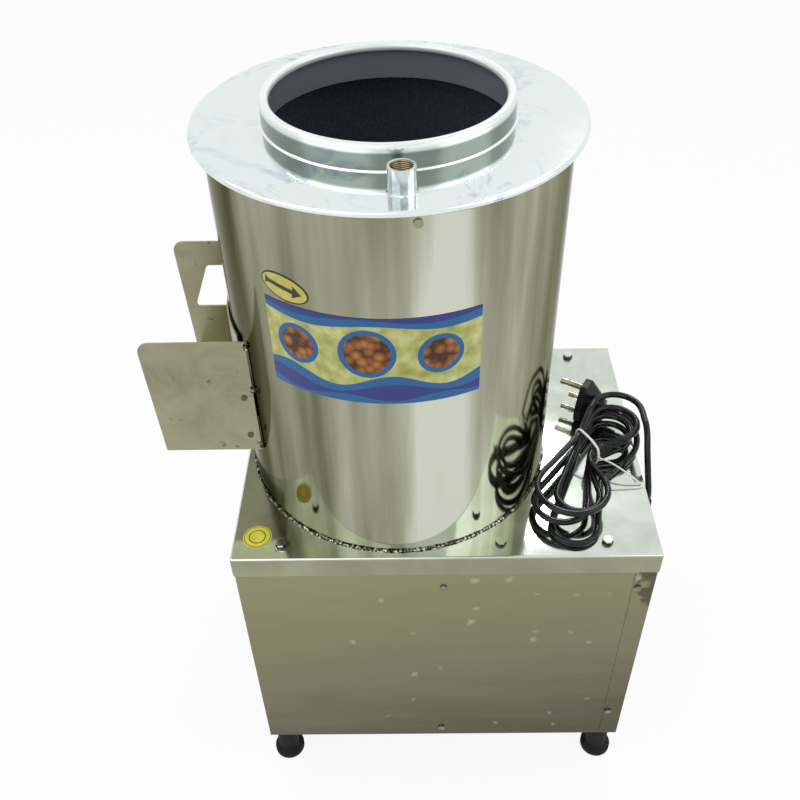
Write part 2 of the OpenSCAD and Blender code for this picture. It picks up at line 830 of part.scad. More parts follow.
module hinge_rivets() {
  grip = cheek_sheet + leaf_t;
  color(steel) at_drum() for (z = hinge_rivet_zs)
    translate([hinge_rivet_x, -cheek_face - cheek_sheet, z]) rotate([-90, 0, 0]) {
      cylinder(r = hinge_rivet_r, h = grip);
      translate([0, 0, -1]) cylinder(r = 1.7 * hinge_rivet_r, h = 1);
      translate([0, 0, grip]) cylinder(r = 1.7 * hinge_rivet_r, h = 1);
    }
}

module door_rivets() {
  color(steel) at_drum() for (z = door_rivet_zs) facing(door_rivet_a) translate([door_in - 0.5, 0, z])
    rotate([0, 90, 0]) {
      cylinder(r = hinge_rivet_r, h = leaf_r1 - door_in + 0.7);
      translate([0, 0, leaf_r1 - door_in + 0.7]) cylinder(r = 1.7 * hinge_rivet_r, h = 1);
    }
}

// The tongue hangs down with the latch open and turns towards the rear cheek to lock
module latch_lever() {
  tail_len = 34;
  tail_w = tongue_w + 2;
  color(steel) at_drum() facing(latch_angle) translate([lever_r0, 0, latch_z]) {
    rotate([0, 90, 0]) linear_extrude(lever_t) difference() {
      union() {
        translate([0, -tongue_w / 2]) square([tongue_len - tongue_w / 2, tongue_w]);
        translate([tongue_len - tongue_w / 2, 0]) circle(d = tongue_w);
        circle(d = tongue_w + 6);
        translate([-tail_len, -tail_w / 2]) square([tail_len, tail_w]);
      }
      circle(d = latch_pin_d + 2 * running_play);
    }
    translate([0, -tail_w / 2, tail_len - lever_t]) cube([14, tail_w, lever_t]);
  }
}

module latch_pivot() {
  color(steel) at_drum() facing(latch_angle) translate([0, 0, latch_z]) rotate([0, 90, 0]) {
    translate([0, 0, door_out]) cylinder(d = latch_pin_d + 6, h = lever_r0 - clear - door_out);
    translate([0, 0, door_out]) cylinder(d = latch_pin_d, h = lever_r1 + clear - door_out);
    translate([0, 0, lever_r1 + clear]) cylinder(d = latch_pin_d + 6, h = 2.5);
  }
}

module at_bearing_bolts() {
  for (k = [0:3]) rotate([0, 0, 45 + 90 * k]) translate([bearing_bolt_pcd / 2, 0, 0]) children();
}

module bearing_bolt_holes() {
  at_bearing_bolts() translate([0, 0, housing_flange_z0 - 1])
    cylinder(d = hanger_d + 2 * bolt_play, h = housing_flange_t + bridge_t + 2);
}

module bearing_bridge() {
  x0 = rail_left - rail_w / 2;
  color(dark_steel) at_drum() difference() {
    translate([x0, -bridge_w / 2, bridge_z0]) cube([rail_mid + rail_w / 2 - x0, bridge_w, bridge_t]);
    translate([0, 0, bridge_z0 - 1]) cylinder(d = housing_d + 2 * bolt_play, h = bridge_t + 2);
    bearing_bolt_holes();
  }
}

module bearing_housing() {
  color(dark_steel) at_drum() difference() {
    union() {
      translate([0, 0, housing_z0]) cylinder(d = housing_d, h = housing_top - housing_z0);
      translate([0, 0, housing_flange_z0]) cylinder(d = bearing_bolt_pcd + 24, h = housing_flange_t);
    }
    translate([0, 0, housing_z0 - 1]) cylinder(d = bearing_d + 2 * seat_play, h = housing_top - housing_z0 + 2);
    bearing_bolt_holes();
  }
}

module bearing_bolts() {
  color(steel) at_drum() at_bearing_bolts() translate([0, 0, housing_flange_z0]) {
    cylinder(d = hanger_d, h = housing_flange_t + bridge_t);
    translate([0, 0, -6.4]) hex(16, 6.4);
  }
}

// A ring in the housing, bored to run on the shaft
module shaft_ring(z, h) {
  translate([0, 0, z]) difference() {
    cylinder(d = bearing_d, h = h);
    translate([0, 0, -1]) cylinder(d = shaft_d + 2 * running_play, h = h + 2);
  }
}

module shaft_bearings() {
  color(steel) at_drum() {
    shaft_ring(bearing_high_z, bearing_w);
    shaft_ring(bearing_low_z, bearing_w);
  }
}

module shaft_seal() {
  color(black) at_drum() shaft_ring(housing_top - 10, 8);
}

module main_shaft() {
  low = -belt_drop - pulley_w / 2 - 4;
  color(steel) at_drum() {
    translate([0, 0, low]) cylinder(d = shaft_d, h = disc_seat - low);
    translate([0, 0, disc_seat - shaft_flange_t]) cylinder(d = shaft_d + 2 * shaft_flange_over, h = shaft_flange_t);
    translate([0, 0, disc_seat]) cylinder(r = stud_r, h = disc_t + stud_over);
  }
}

module peeling_disc() {
  ridge_r = 30;
  color(black) at_drum() difference() {
    union() {
      translate([0, 0, disc_seat]) cylinder(d = disc_d, h = disc_t, $fn = 180);
      intersection() {
        translate([0, 0, disc_top - 1]) cylinder(d = disc_d - 12, h = ridge_h + 1, $fn = 180);
        for (k = [0:2]) rotate([0, 0, 120 * k]) translate([30, 0, disc_top + ridge_h - ridge_r]) rotate([0, 90, 0])
          cylinder(r = ridge_r, h = disc_d);
      }
    }
    translate([0, 0, disc_seat - 1]) cylinder(r = stud_r + seat_play, h = disc_t + ridge_h + 2);
  }
}

module disc_nut() {
  color(steel) at_drum() translate([0, 0, disc_top]) difference() {
    union() {
      cylinder(d = 34, h = 3);
      translate([0, 0, 3]) hex(24, 10);
    }
    translate([0, 0, -1]) cylinder(r = stud_r + seat_play, h = 20);
  }
}

module pulley(d, bore, hub_d) {
  room = d / 2 - groove_depth - hub_d / 2;
  hole_at = hub_d / 2 + room / 2;
  hole_d = min(room, hole_at) - pulley_web;
  translate([0, 0, -belt_drop - pulley_w / 2]) difference() {
    cylinder(d = d, h = pulley_w, $fn = 120);
    translate([0, 0, (pulley_w - groove_w) / 2]) difference() {
      cylinder(d = d + 2, h = groove_w, $fn = 120);
      cylinder(d = d - 2 * groove_depth, h = groove_w, $fn = 120);
    }
    translate([0, 0, -1]) cylinder(d = bore + 2 * seat_play, h = pulley_w + 2);
    if (hole_d > 0) for (k = [0:5]) rotate([0, 0, 60 * k]) translate([hole_at, 0, -1])
      cylinder(d = hole_d, h = pulley_w + 2);
  }
}

module driven_pulley() {
  color(dark_steel) at_drum() pulley(pulley_d, shaft_d, 2 * shaft_d);
}

module at_hangers() {
  for (x = [rail_mid, rail_right], y = [-hanger_y, hanger_y]) translate([x, y, 0]) children();
}

module motor_hangers() {
  top = rail_z1 - rail_t;
  color(steel) at_drum() at_hangers() {
    translate([0, 0, plate_z0]) cylinder(d = hanger_d, h = top - plate_z0);
    translate([0, 0, plate_z0 - 6.4]) hex(16, 6.4);
  }
}

module motor_plate() {
  x0 = rail_mid - rail_w / 2 - plate_over;
  color(dark_steel) at_drum() difference() {
    translate([x0, -hanger_y - 15, plate_z0]) cube([plate_edge - x0, 2 * hanger_y + 30, motor_plate_t]);
    at_hangers() translate([0, 0, plate_z0 - 1]) cylinder(d = hanger_d + 2 * bolt_play, h = motor_plate_t + 2);
    translate([motor_x, 0, plate_z0 - 1]) cylinder(d = 60, h = motor_plate_t + 2);
  }
}

module motor_body() {
  body_r = motor_d / 2 - 6;
  color([0.30, 0.36, 0.42]) at_drum() translate([motor_x, 0, motor_z0]) difference() {
    union() {
      cylinder(r = body_r, h = motor_h, $fn = 96);
      for (k = [0:17]) rotate([0, 0, 20 * k]) translate([0, -1.5, 20]) cube([motor_d / 2, 3, motor_h - 40]);
    }
    translate([0, 0, -1]) cylinder(d = motor_shaft_d + 2 * running_play, h = motor_h + 2);
  }
}

module motor_shaft() {
  low = motor_z0 - fan_t - 8;
  color(steel) at_drum() translate([motor_x, 0, low])
    cylinder(d = motor_shaft_d, h = -belt_drop + pulley_w / 2 + 3 - low);
}

module motor_pulley() {
  color(dark_steel) at_drum() translate([motor_x, 0, 0]) pulley(motor_pulley_d, motor_shaft_d, motor_pulley_d);
}

// The outline of a belt round two circles, on the straight tangents between them
function belt_outline(r0, r1) =
  let (lean = asin((r0 - r1) / motor_x), steps = 36)
  [
    for (k = [0:steps]) let (a = 90 - lean + (180 + 2 * lean) * k / steps) r0 * [cos(a), sin(a)],
    for (k = [0:steps]) let (a = -90 + lean + (180 - 2 * lean) * k / steps) [motor_x, 0] + r1 * [cos(a), sin(a)]
  ];

module v_belt() {
  r0 = pulley_d / 2 - groove_depth + belt_lift;
  r1 = motor_pulley_d / 2 - groove_depth + belt_lift;
  color(black) at_drum() translate([0, 0, -belt_drop - belt_w / 2]) linear_extrude(belt_w) difference() {
    polygon(belt_outline(r0 + belt_h, r1 + belt_h));
    polygon(belt_outline(r0, r1));
  }
}

module motor_fan() {
  color(black) at_drum() translate([motor_x, 0, motor_z0 - fan_t - 4]) difference() {
    union() {
      cylinder(d = motor_d - 2 * fan_room, h = blade_end);
      cylinder(d = motor_shaft_d + 14, h = fan_t);
      for (k = [0:6]) rotate([0, 0, 360 / 7 * k]) translate([motor_shaft_d / 2 + blade_end, -blade_t / 2, 1])
        cube([motor_d / 2 - fan_room - motor_shaft_d / 2 - 2 * blade_end, blade_t, fan_t - blade_end]);
    }
    translate([0, 0, -1]) cylinder(d = motor_shaft_d + 2 * seat_play, h = fan_t + 2);
  }
}

module fan_cover() {
  outer_r = motor_d / 2 - 6;
  color(black) at_drum() translate([motor_x, 0, motor_z0 - fan_cover_h]) difference() {
    cylinder(r = outer_r, h = fan_cover_h, $fn = 96);
    translate([0, 0, 1.5]) cylinder(r = outer_r - 1.5, h = fan_cover_h, $fn = 96);
    for (k = [0:11]) rotate([0, 0, 30 * k]) translate([25, -2, -1]) cube([32, 4, 4]);
  }
}

module terminal_box() {
  color(black) at_drum() difference() {
    translate([motor_x - box_w / 2, -motor_d / 2 - box_out, motor_z0 + 50]) cube([box_w, box_out + box_in, 58]);
    translate([motor_x, 0, motor_z0 + 49]) cylinder(d = motor_d + 2 * clear, h = 60, $fn = 96);
  }
}

// Places of the cord's own pieces: its points are chosen by hand and stay as they are
box_w = 56;
box_out = 28;
box_in = 14;
box_side = motor_x + box_w / 2;
gland_y = -70;
gland_z = -72;
gland_neck_r = 6;
gland_out = 12;
cord_r = cord_d / 2;
lead_points = [
  [294, -12, 42], [294, -22, 42], [293.5, -35, 38], [293, -47, 27], [293.5, -57, 13], [295, -64, -3],
  [297, -68, -18], [298, -70, -30], [298, -70, -38]
];
tail_points = [
  [272, 23, 17], [279, 18.85, 17], [285, 13.5, 15.2], [289.5, 5, 11], [291, -6, 7], [289, -18, 4.6], [283, -31, 4.2],
  [273, -44, 4.2], [260, -56, 4.2], [249.4, -65.2, 4.2], [243, -70.8, 4.2]
];
function to_box(t) = plate_edge + (box_side - plate_edge) * t;
inner_points = [
  [cab_x1 - 2, gland_y, gland_z], [cab_x1 - 9.4, -70.5, -72.7], [cab_x1 - 16.9, -72, -74.7],
  [cab_x1 - 28.7, -77.3, -82], [plate_edge - 3.5, -84.7, -92.8], [plate_edge - 7.9, -92.2, -105.1],
  [plate_edge - 10.4, -98.8, -118.6], [plate_edge - 11.7, -103.9, -133.1], [plate_edge - 12.4, -106.4, -148.1],
  [plate_edge - 12.9, -106.1, -163], [plate_edge - 13.7, -103.5, -178.1], [plate_edge - 15.3, -99.4, -192.7],
  [to_box(0.357), -95, -206.5], [to_box(0.495), -91.2, -219], [to_box(0.72), -89.1, -227.9],
  [box_side + 0.4, -88.5, -231]
];
twine_points = [
  [235.4, -48.5, 16], [238.7, -52.3, 16], [247, -58, 16], [255, -64, 15], [264, -70, 12], [273, -75, 7.5], [280, -79, 3],
  [284, -82, 1.3], [281.5, -85, 1.3], [272, -86.5, 1.3], [258, -87.5, 1.3], [243, -88, 1.3]
];
twine_d = 2;

// The hank: one strand goes round front and rear bends and through a tied waist, a row higher each time.
// A bend is its centre, height and radius: positive turns right, negative turns left, and zero is a plain point.
waist_left = [216.6, -26.5];
waist_right = [247, -62];
waist_turn = -23;
row_low = 6;
row_step = cord_d + 1.2;
front_bends = [[196, -146, 4.2, 25], [184, -118, 13.2, 30], [203, -116, 21.8, 24], [196, -112, 30.6, 39]];
rear_bends = [[256, -10, 10.6, 23.5], [256, -8, 20.4, 25], [260, -7, 31, 27.5], [264, 2, 42, 30]];
tail_end = tail_points[len(tail_points) - 1];
tail_run = tail_end + cord_d * unit(tail_end - tail_points[len(tail_points) - 2]);
bends = [
  [tail_run[0], tail_run[1], tail_run[2], 0],
  for (i = [0:3]) each [
    front_bends[i],
    [waist_left[0], waist_left[1], row_low + i * row_step, 0],
    rear_bends[i],
    if (i < 3) [waist_right[0], waist_right[1], row_low + i * row_step, waist_turn]
  ]
];

// The angle, from its bend's centre, at which the straight run from bend a to bend b leaves the one and meets the other
function run_angle(a, b) =
  let (v = [b[0] - a[0], b[1] - a[1]])
  atan2(v[1], v[0]) + acos((a[3] - b[3]) / norm(v));

function on_bend(bend, angle) = [bend[0] + bend[3] * cos(angle), bend[1] + bend[3] * sin(angle), bend[2]];

function bend_points(bend, first, last) =
  bend[3] == 0 ? [on_bend(bend, 0)] :
  let (
    way = last - first,
    sweep = way - 360 * (bend[3] > 0 ? ceil(way / 360) : floor(way / 360)),
    steps = ceil(abs(sweep) / 24)
  )
  [for (k = [0:steps]) on_bend(bend, first + sweep * k / steps)];

// A point of the run from a to b, level at both ends
function run_point(a, b, t) =
  let (lift = t * t * (3 - 2 * t))
  [a[0] + (b[0] - a[0]) * t, a[1] + (b[1] - a[1]) * t, a[2] + (b[2] - a[2]) * lift];

last_bend = len(bends) - 1;
run_angles = [for (i = [0:last_bend - 1]) run_angle(bends[i], bends[i + 1])];
hank_points = [
  tail_end,
  on_bend(bends[0], 0),
  for (i = [1:last_bend]) let (
    start = on_bend(bends[i - 1], run_angles[i - 1]),
    end = on_bend(bends[i], run_angles[i - 1])
  ) each [
    for (t = [0.25, 0.5, 0.75]) run_point(start, end, t),
    each bend_points(bends[i], run_angles[i - 1], i < last_bend ? run_angles[i] : 0)
  ],
  lead_points[0]
];

// A round tube through points: its rings stand square to the route, turned by a fixed reference direction
function route_direction(p, i) =
  unit((i > 0 ? unit(p[i] - p[i - 1]) : [0, 0, 0]) + (i < len(p) - 1 ? unit(p[i + 1] - p[i]) : [0, 0, 0]));

function route_ring(p, i, r, sides, ref) =
  let (
    t = route_direction(p, i),
    across = unit(cross(t, ref)),
    up = cross(across, t)
  )
  [for (k = [0:sides - 1]) p[i] + r * (across * cos(360 * k / sides) + up * sin(360 * k / sides))];

module tube(p, r, sides, ref) {
  n = len(p);
  polyhedron(
    points = [for (i = [0:n - 1]) each route_ring(p, i, r, sides, ref)],
    faces = [
      for (k = [1:sides - 2]) [0, k + 1, k],
      for (k = [1:sides - 2]) [(n - 1) * sides, (n - 1) * sides + k, (n - 1) * sides + k + 1],
      for (i = [0:n - 2], k = [0:sides - 1]) each let (a = i * sides + k, b = i * sides + (k + 1) % sides)
        [[a, b, a + sides], [b, b + sides, a + sides]]
    ]
  );
}

// The least gap between strands of a tube, on points along its route
function between(p, parts) = [
  for (i = [0:len(p) - 2], k = [0:parts - 1]) p[i] + (p[i + 1] - p[i]) * k / parts
];
function lengths(p, i = 1, sum = [0]) =
  i == len(p) ? sum : lengths(p, i + 1, concat(sum, [sum[i - 1] + norm(p[i] - p[i - 1])]));
function least_gap(p, d) =
  let (s = lengths(p), n = len(p))
  min([for (i = [0:n - 1], j = [i + 1:1:n - 1]) if (s[j] - s[i] > 5 * d) norm(p[i] - p[j])]) - d;

module cord_gland() {
  color(black) at_drum() difference() {
    translate([cab_x1, gland_y, gland_z]) {
      rotate([0, 90, 0]) cylinder(r = 13, h = 3);
      translate([-cabinet_sheet - 2, 0, 0]) rotate([0, 90, 0])
        cylinder(r = gland_neck_r, h = gland_out + cabinet_sheet + 2);
      translate([gland_out, 0, 0]) sphere(r = 8);
      translate([gland_out, 0, 0]) cylinder(r1 = 8, r2 = 5.5, h = lead_points[8][2] - gland_z);
    }
    translate([in_x1 - 3, gland_y, gland_z]) rotate([0, 90, 0]) cylinder(r = cord_r + 0.2, h = 8);
  }
}

module cord_lead() {
  color(black) at_drum() tube(lead_points, cord_r, 8, [1, 0, 0]);
}

module cord_hank() {
  echo(hank_gap = least_gap(between(hank_points, 4), cord_d));
  color(black) at_drum() tube(hank_points, cord_r, 6, [0, 0, 1]);
}

module cord_tail() {
  color(black) at_drum() tube(tail_points, cord_r, 8, [0, 0, 1]);
}

module inner_lead() {
  color(black) at_drum() tube(inner_points, cord_r, 8, [0.6, 0.8, 0]);
}

// The twine round the waist, its knot and its free end
module cord_tie() {
  band = 1.6;
  room = cord_r + 0.6;
  span = norm(waist_right - waist_left) + waist_turn;
  turn = atan2(waist_right[1] - waist_left[1], waist_right[0] - waist_left[0]);
  z0 = row_low - room;
  z1 = row_low + 3 * row_step + room;
  color([0.93, 0.93, 0.9]) at_drum() {
    translate([waist_left[0], waist_left[1], 0]) rotate([0, 0, turn]) rotate([90, 0, 0])
      translate([0, 0, -2]) linear_extrude(4) difference() {
        polygon(rounded([[-room - band, z0 - band], [span + room + band, z0 - band],
          [span + room + band, z1 - row_step + band], [room, z1 + band], [-room - band, z1 + band]], [4, 4, 4, 4, 4]));
        polygon(rounded([[-room, z0], [span + room, z0], [span + room, z1 - row_step], [room, z1], [-room, z1]],
          [3, 3, 3, 3, 3]));
      }
    tube(twine_points, twine_d / 2, 8, [0, 0, 1]);
  }
}

// The plug lies on its line-pin side, its pins pointing away from the lead
plug_face = [230, 48];
plug_turn = atan2(0.51, -0.86);
plug_mid_z = 24.5;
line_pin_gap = 25.4;
earth_pin_rise = 28.6;
line_pin_z = 12;

module at_plug() {
  at_drum() translate([plug_face[0], plug_face[1], 0]) rotate([0, 0, plug_turn]) children();
}

module at_pins() {
  translate([0, 0, line_pin_z + earth_pin_rise]) rotate([0, 90, 0]) children(0);
  for (side = [-1, 1]) translate([0, side * line_pin_gap / 2, line_pin_z]) rotate([0, 90, 0]) children(1);
}

module plug_body() {
  neck = [
    (tail_points[0][0] - plug_face[0]) * cos(plug_turn) + (tail_points[0][1] - plug_face[1]) * sin(plug_turn), 0,
    tail_points[0][2]
  ];
  color(black) at_plug() difference() {
    union() {
      hull() {
        for (y = [-15, 15], z = [9, 21]) translate([-8, y, z]) rotate([0, 90, 0]) cylinder(r = 8.6, h = 8, $fn = 32);
        for (y = [-6, 6]) translate([-8, y, 40]) rotate([0, 90, 0]) cylinder(r = 8.6, h = 8, $fn = 32);
        translate([-30, 0, 17]) rotate([0, 90, 0]) cylinder(r = 12, h = 8, $fn = 32);
      }
      translate([neck[0], 0, neck[2]]) rotate([0, 90, 0]) cylinder(r1 = 5.5, r2 = 8, h = -26 - neck[0]);
    }
    at_pins() {
      translate([0, 0, -10]) cylinder(d = earth_pin_d + 2 * seat_play, h = 16);
      translate([0, 0, -10]) cylinder(d = line_pin_d + 2 * seat_play, h = 16);
    }
  }
}

module plug_pins() {
  color([0.85, 0.78, 0.55]) at_plug() at_pins() {
    translate([0, 0, -9]) cylinder(d = earth_pin_d, h = 9 + 28.6);
    translate([0, 0, -9]) cylinder(d = line_pin_d, h = 9 + 20.6);
  }
}

rubber_feet();
foot_bolts();
corner_posts();
lower_rails();
upper_rails();
support_rails();
base_cabinet();
service_panel();
panel_screws();
top_cover();
cover_washers();
cover_bolts();
drum_shell();
drum_weld();
drum_lining();
top_ring();
ring_screws();
feed_collar();
water_socket();
drain_spout();
chute_cheek_front();
chute_cheek_rear();
cheek_welds();
chute_floor();
outlet_door();
door_gasket();
hinge_cheek_leaf();
hinge_door_leaf();
hinge_pin();
hinge_rivets();
door_rivets();
latch_lever();
latch_pivot();
bearing_bridge();
bearing_housing();
bearing_bolts();
shaft_bearings();
shaft_seal();
main_shaft();
peeling_disc();
disc_nut();
driven_pulley();
motor_hangers();
motor_plate();
motor_body();
motor_shaft();
motor_pulley();
v_belt();
motor_fan();
fan_cover();
terminal_box();
inner_lead();
cord_gland();
cord_lead();
cord_hank();
cord_tail();
cord_tie();
plug_body();
plug_pins();
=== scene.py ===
import math

import bpy
from mathutils import Matrix, Vector


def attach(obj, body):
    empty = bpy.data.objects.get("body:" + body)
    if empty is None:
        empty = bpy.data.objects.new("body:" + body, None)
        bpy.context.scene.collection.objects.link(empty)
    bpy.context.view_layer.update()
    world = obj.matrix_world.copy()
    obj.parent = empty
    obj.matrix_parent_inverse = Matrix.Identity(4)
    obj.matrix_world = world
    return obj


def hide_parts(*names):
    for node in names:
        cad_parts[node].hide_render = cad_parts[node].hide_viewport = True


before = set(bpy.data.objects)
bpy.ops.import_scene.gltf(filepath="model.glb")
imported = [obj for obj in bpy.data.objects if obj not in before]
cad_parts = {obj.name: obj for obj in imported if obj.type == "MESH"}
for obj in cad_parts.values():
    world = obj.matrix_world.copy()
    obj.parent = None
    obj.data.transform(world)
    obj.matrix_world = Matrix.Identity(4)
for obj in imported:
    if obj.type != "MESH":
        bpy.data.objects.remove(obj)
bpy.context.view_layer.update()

# Camera: it stands in front of the machine and well above it, looking down at the feed mouth.
# Its lens, tilt and place were found from the drum's rims, the base's corners and the cover bolts.
# Places are in mm from the drum's axis and the top of the base cover, as in the part's source.
DRUM_X = -15.0
DRUM_Y = -9.5
COVER_Z = 438.0
DRUM_R = 175.0


def place(x, y, z):
    """A point given in mm, in metres in the shared frame."""
    return Vector(((x + DRUM_X) / 1000, (y + DRUM_Y) / 1000, (z + COVER_Z) / 1000))


lens = bpy.data.cameras.new("photo_camera")
lens.sensor_width = 36
lens.lens = 40.94
camera = bpy.data.objects.new("photo_camera", lens)
bpy.context.scene.collection.objects.link(camera)
yaw = Matrix.Rotation(math.radians(1.314), 4, "Z")
tilt = Matrix.Rotation(math.radians(90 - 41.234), 4, "X")
roll = Matrix.Rotation(math.radians(-1.6635), 4, "Z")
camera.matrix_world = Matrix.Translation(place(21.62, -814.43, 780.08)) @ yaw @ tilt @ roll
bpy.context.scene.camera = camera
bpy.context.scene.view_settings.view_transform = "Standard"

# Mains lead: a round flexible lead in black PVC, tied in a hank of four loops on the base cover.
# It leaves the gland on the right side, climbs over the cover's edge, goes round the loops and ends
# in the plug. PVC is extruded, so its skin is even, with a soft sheen and a little dust.
CORD_D = 7.6
WAIST_R = 23


def linear(code):
    """The linear colour of an sRGB hex value."""
    parts = [int(code[i:i + 2], 16) / 255 for i in (1, 3, 5)]
    return tuple(c / 12.92 if c <= 0.04045 else ((c + 0.055) / 1.055) ** 2.4 for c in parts) + (1.0,)


def add(tree, kind, links=None, **settings):
    """Adds a node; links fills its sockets with values or other nodes' outputs."""
    n = tree.nodes.new(kind)
    for name, value in settings.items():
        setattr(n, name, value)
    for name, value in (links or {}).items():
        if isinstance(value, bpy.types.NodeSocket):
            tree.links.new(value, n.inputs[name])
        else:
            n.inputs[name].default_value = value
    return n


def new_material(name, **values):
    """A material named for its finish, with plain values on its shader, and its node tree and shader."""
    m = bpy.data.materials.new(name)
    m.use_nodes = True
    shader = m.node_tree.nodes["Principled BSDF"]
    for socket, value in values.items():
        shader.inputs[socket.replace("_", " ")].default_value = value
    return m, m.node_tree, shader


def ramp(tree, fac, stops):
    """A colour ramp with stops of position and hex colour."""
    n = add(tree, "ShaderNodeValToRGB", {"Fac": fac})
    while len(n.color_ramp.elements) < len(stops):
        n.color_ramp.elements.new(0.5)
    for element, (position, code) in zip(n.color_ramp.elements, stops):
        element.position = position
        element.color = linear(code)
    return n.outputs["Color"]


lead_points = [
    (294, -12, 42), (294, -22, 42), (293.5, -35, 38), (293, -47, 27), (293.5, -57, 13), (295, -64, -3),
    (297, -68, -18), (298, -70, -30), (298, -70, -38),
]
tail_points = [
    (272, 23, 17), (279, 18.85, 17), (285, 13.5, 15.2), (289.5, 5, 11), (291, -6, 7), (289, -18, 4.6),
    (283, -31, 4.2), (273, -44, 4.2), (260, -56, 4.2), (249.4, -65.2, 4.2), (243, -70.8, 4.2),
]
front_bends = [(196, -146, 4.2, 25), (184, -118, 13.2, 30), (203, -116, 21.8, 24), (196, -112, 30.6, 39)]
rear_bends = [(256, -10, 10.6, 23.5), (256, -8, 20.4, 25), (260, -7, 31, 27.5), (264, 2, 42, 30)]
waist_left = (216.6, -26.5)
waist_right = (247, -62)
ROW_LOW = 6.0
ROW_STEP = CORD_D + 1.2

tail_end = Vector(tail_points[-1])
tail_run = tail_end + CORD_D * (tail_end - Vector(tail_points[-2])).normalized()
bends = [(tail_run.x, tail_run.y, tail_run.z, 0)]
for i in range(4):
    bends.append(front_bends[i])
    bends.append(waist_left + (ROW_LOW + i * ROW_STEP, 0))
    bends.append(rear_bends[i])
    if i < 3:
        bends.append(waist_right + (ROW_LOW + i * ROW_STEP, -WAIST_R))


def run_angle(a, b):
    """The angle at which the straight run from bend a to bend b leaves the one and meets the other."""
    v = Vector((b[0] - a[0], b[1] - a[1]))
    return math.atan2(v.y, v.x) + math.acos((a[3] - b[3]) / v.length)


def on_bend(bend, angle):
    """The point of a bend's circle at an angle."""
    return Vector((bend[0] + bend[3] * math.cos(angle), bend[1] + bend[3] * math.sin(angle), bend[2]))


hank_points = [tail_end, Vector(bends[0][:3])]
for i in range(1, len(bends)):
    angle = run_angle(bends[i - 1], bends[i])
    start = on_bend(bends[i - 1], angle)
    end = on_bend(bends[i], angle)
    for t in (0.25, 0.5, 0.75):
        p = start.lerp(end, t)
        p.z = start.z + (end.z - start.z) * t * t * (3 - 2 * t)
        hank_points.append(p)
    if bends[i][3] == 0:
        hank_points.append(end)
        continue
    way = (run_angle(bends[i], bends[i + 1]) if i + 1 < len(bends) else 0) - angle
    turns = way / math.tau
    sweep = way - math.tau * (math.ceil(turns) if bends[i][3] > 0 else math.floor(turns))
    steps = math.ceil(abs(math.degrees(sweep)) / 24)
    for k in range(steps + 1):
        hank_points.append(on_bend(bends[i], angle + sweep * k / steps))
route = [Vector(p) for p in tail_points[:-1]] + hank_points + [Vector(p) for p in lead_points]
route.reverse()


def cord_curve(name, points, diameter):
    """A round cord along points in mm, as a curve with smooth handles."""
    curve = bpy.data.curves.new(name, "CURVE")
    curve.dimensions = "3D"
    curve.bevel_depth = diameter / 2000
    curve.bevel_resolution = 5
    curve.resolution_u = 6
    curve.use_fill_caps = True
    spline = curve.splines.new("BEZIER")
    spline.bezier_points.add(len(points) - 1)
    for knot, p in zip(spline.bezier_points, points):
        knot.co = place(*p)
        knot.handle_left_type = "AUTO"
        knot.handle_right_type = "AUTO"
    cord = bpy.data.objects.new(name, curve)
    bpy.context.scene.collection.objects.link(cord)
    return cord


pvc, tree, shader = new_material("black PVC extruded sheath", Roughness=0.15, Specular_IOR_Level=0.3)
coords = add(tree, "ShaderNodeTexCoord").outputs["Object"]
dust = add(tree, "ShaderNodeTexNoise", {"Vector": coords, "Scale": 90.0, "Detail": 5.0, "Roughness": 0.6})
tree.links.new(ramp(tree, dust.outputs["Fac"], [(0.35, "#0a0b0c"), (0.62, "#111314"), (0.8, "#1f2223")]),
               shader.inputs["Base Color"])
skin = add(tree, "ShaderNodeTexNoise", {"Vector": coords, "Scale": 700.0, "Detail": 2.0})
bump = add(tree, "ShaderNodeBump", {"Height": skin.outputs["Fac"], "Strength": 0.06, "Distance": 0.0002})
tree.links.new(bump.outputs["Normal"], shader.inputs["Normal"])

mains_lead = cord_curve("mains_lead", route, CORD_D)
mains_lead.data.materials.append(pvc)
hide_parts("cord_lead", "cord_hank", "cord_tail")
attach(mains_lead, "machine")

# Floor and light: a plain pale floor, large soft lights on the left and right, a small one high on the
# left that draws thin highlights, and a tall narrow one behind that the cover shows as a white streak.
# World and floor are white to the eye and in reflections, and the floor still takes the shadow.
bpy.ops.object.select_all(action="DESELECT")
bpy.ops.mesh.primitive_plane_add(size=24, location=(0, 0, -0.0005))
floor = bpy.context.object
floor.name = "studio_floor"
floor_paint, tree, shader = new_material("white painted floor", Roughness=0.9, Specular_IOR_Level=0.0)
shader.inputs["Base Color"].default_value = linear("#f4f4f2")
path = add(tree, "ShaderNodeLightPath")
seen = add(tree, "ShaderNodeMath", {0: path.outputs["Is Camera Ray"], 1: path.outputs["Is Glossy Ray"]},
           operation="MAXIMUM")
part = add(tree, "ShaderNodeMath", {0: seen.outputs[0], 1: 0.9}, operation="MULTIPLY")
glow = add(tree, "ShaderNodeEmission", {"Color": (1, 1, 1, 1), "Strength": 1.0})
mixed = add(tree, "ShaderNodeMixShader", {0: part.outputs[0], 1: shader.outputs[0], 2: glow.outputs[0]})
tree.links.new(mixed.outputs[0], tree.nodes["Material Output"].inputs["Surface"])
floor.data.materials.append(floor_paint)

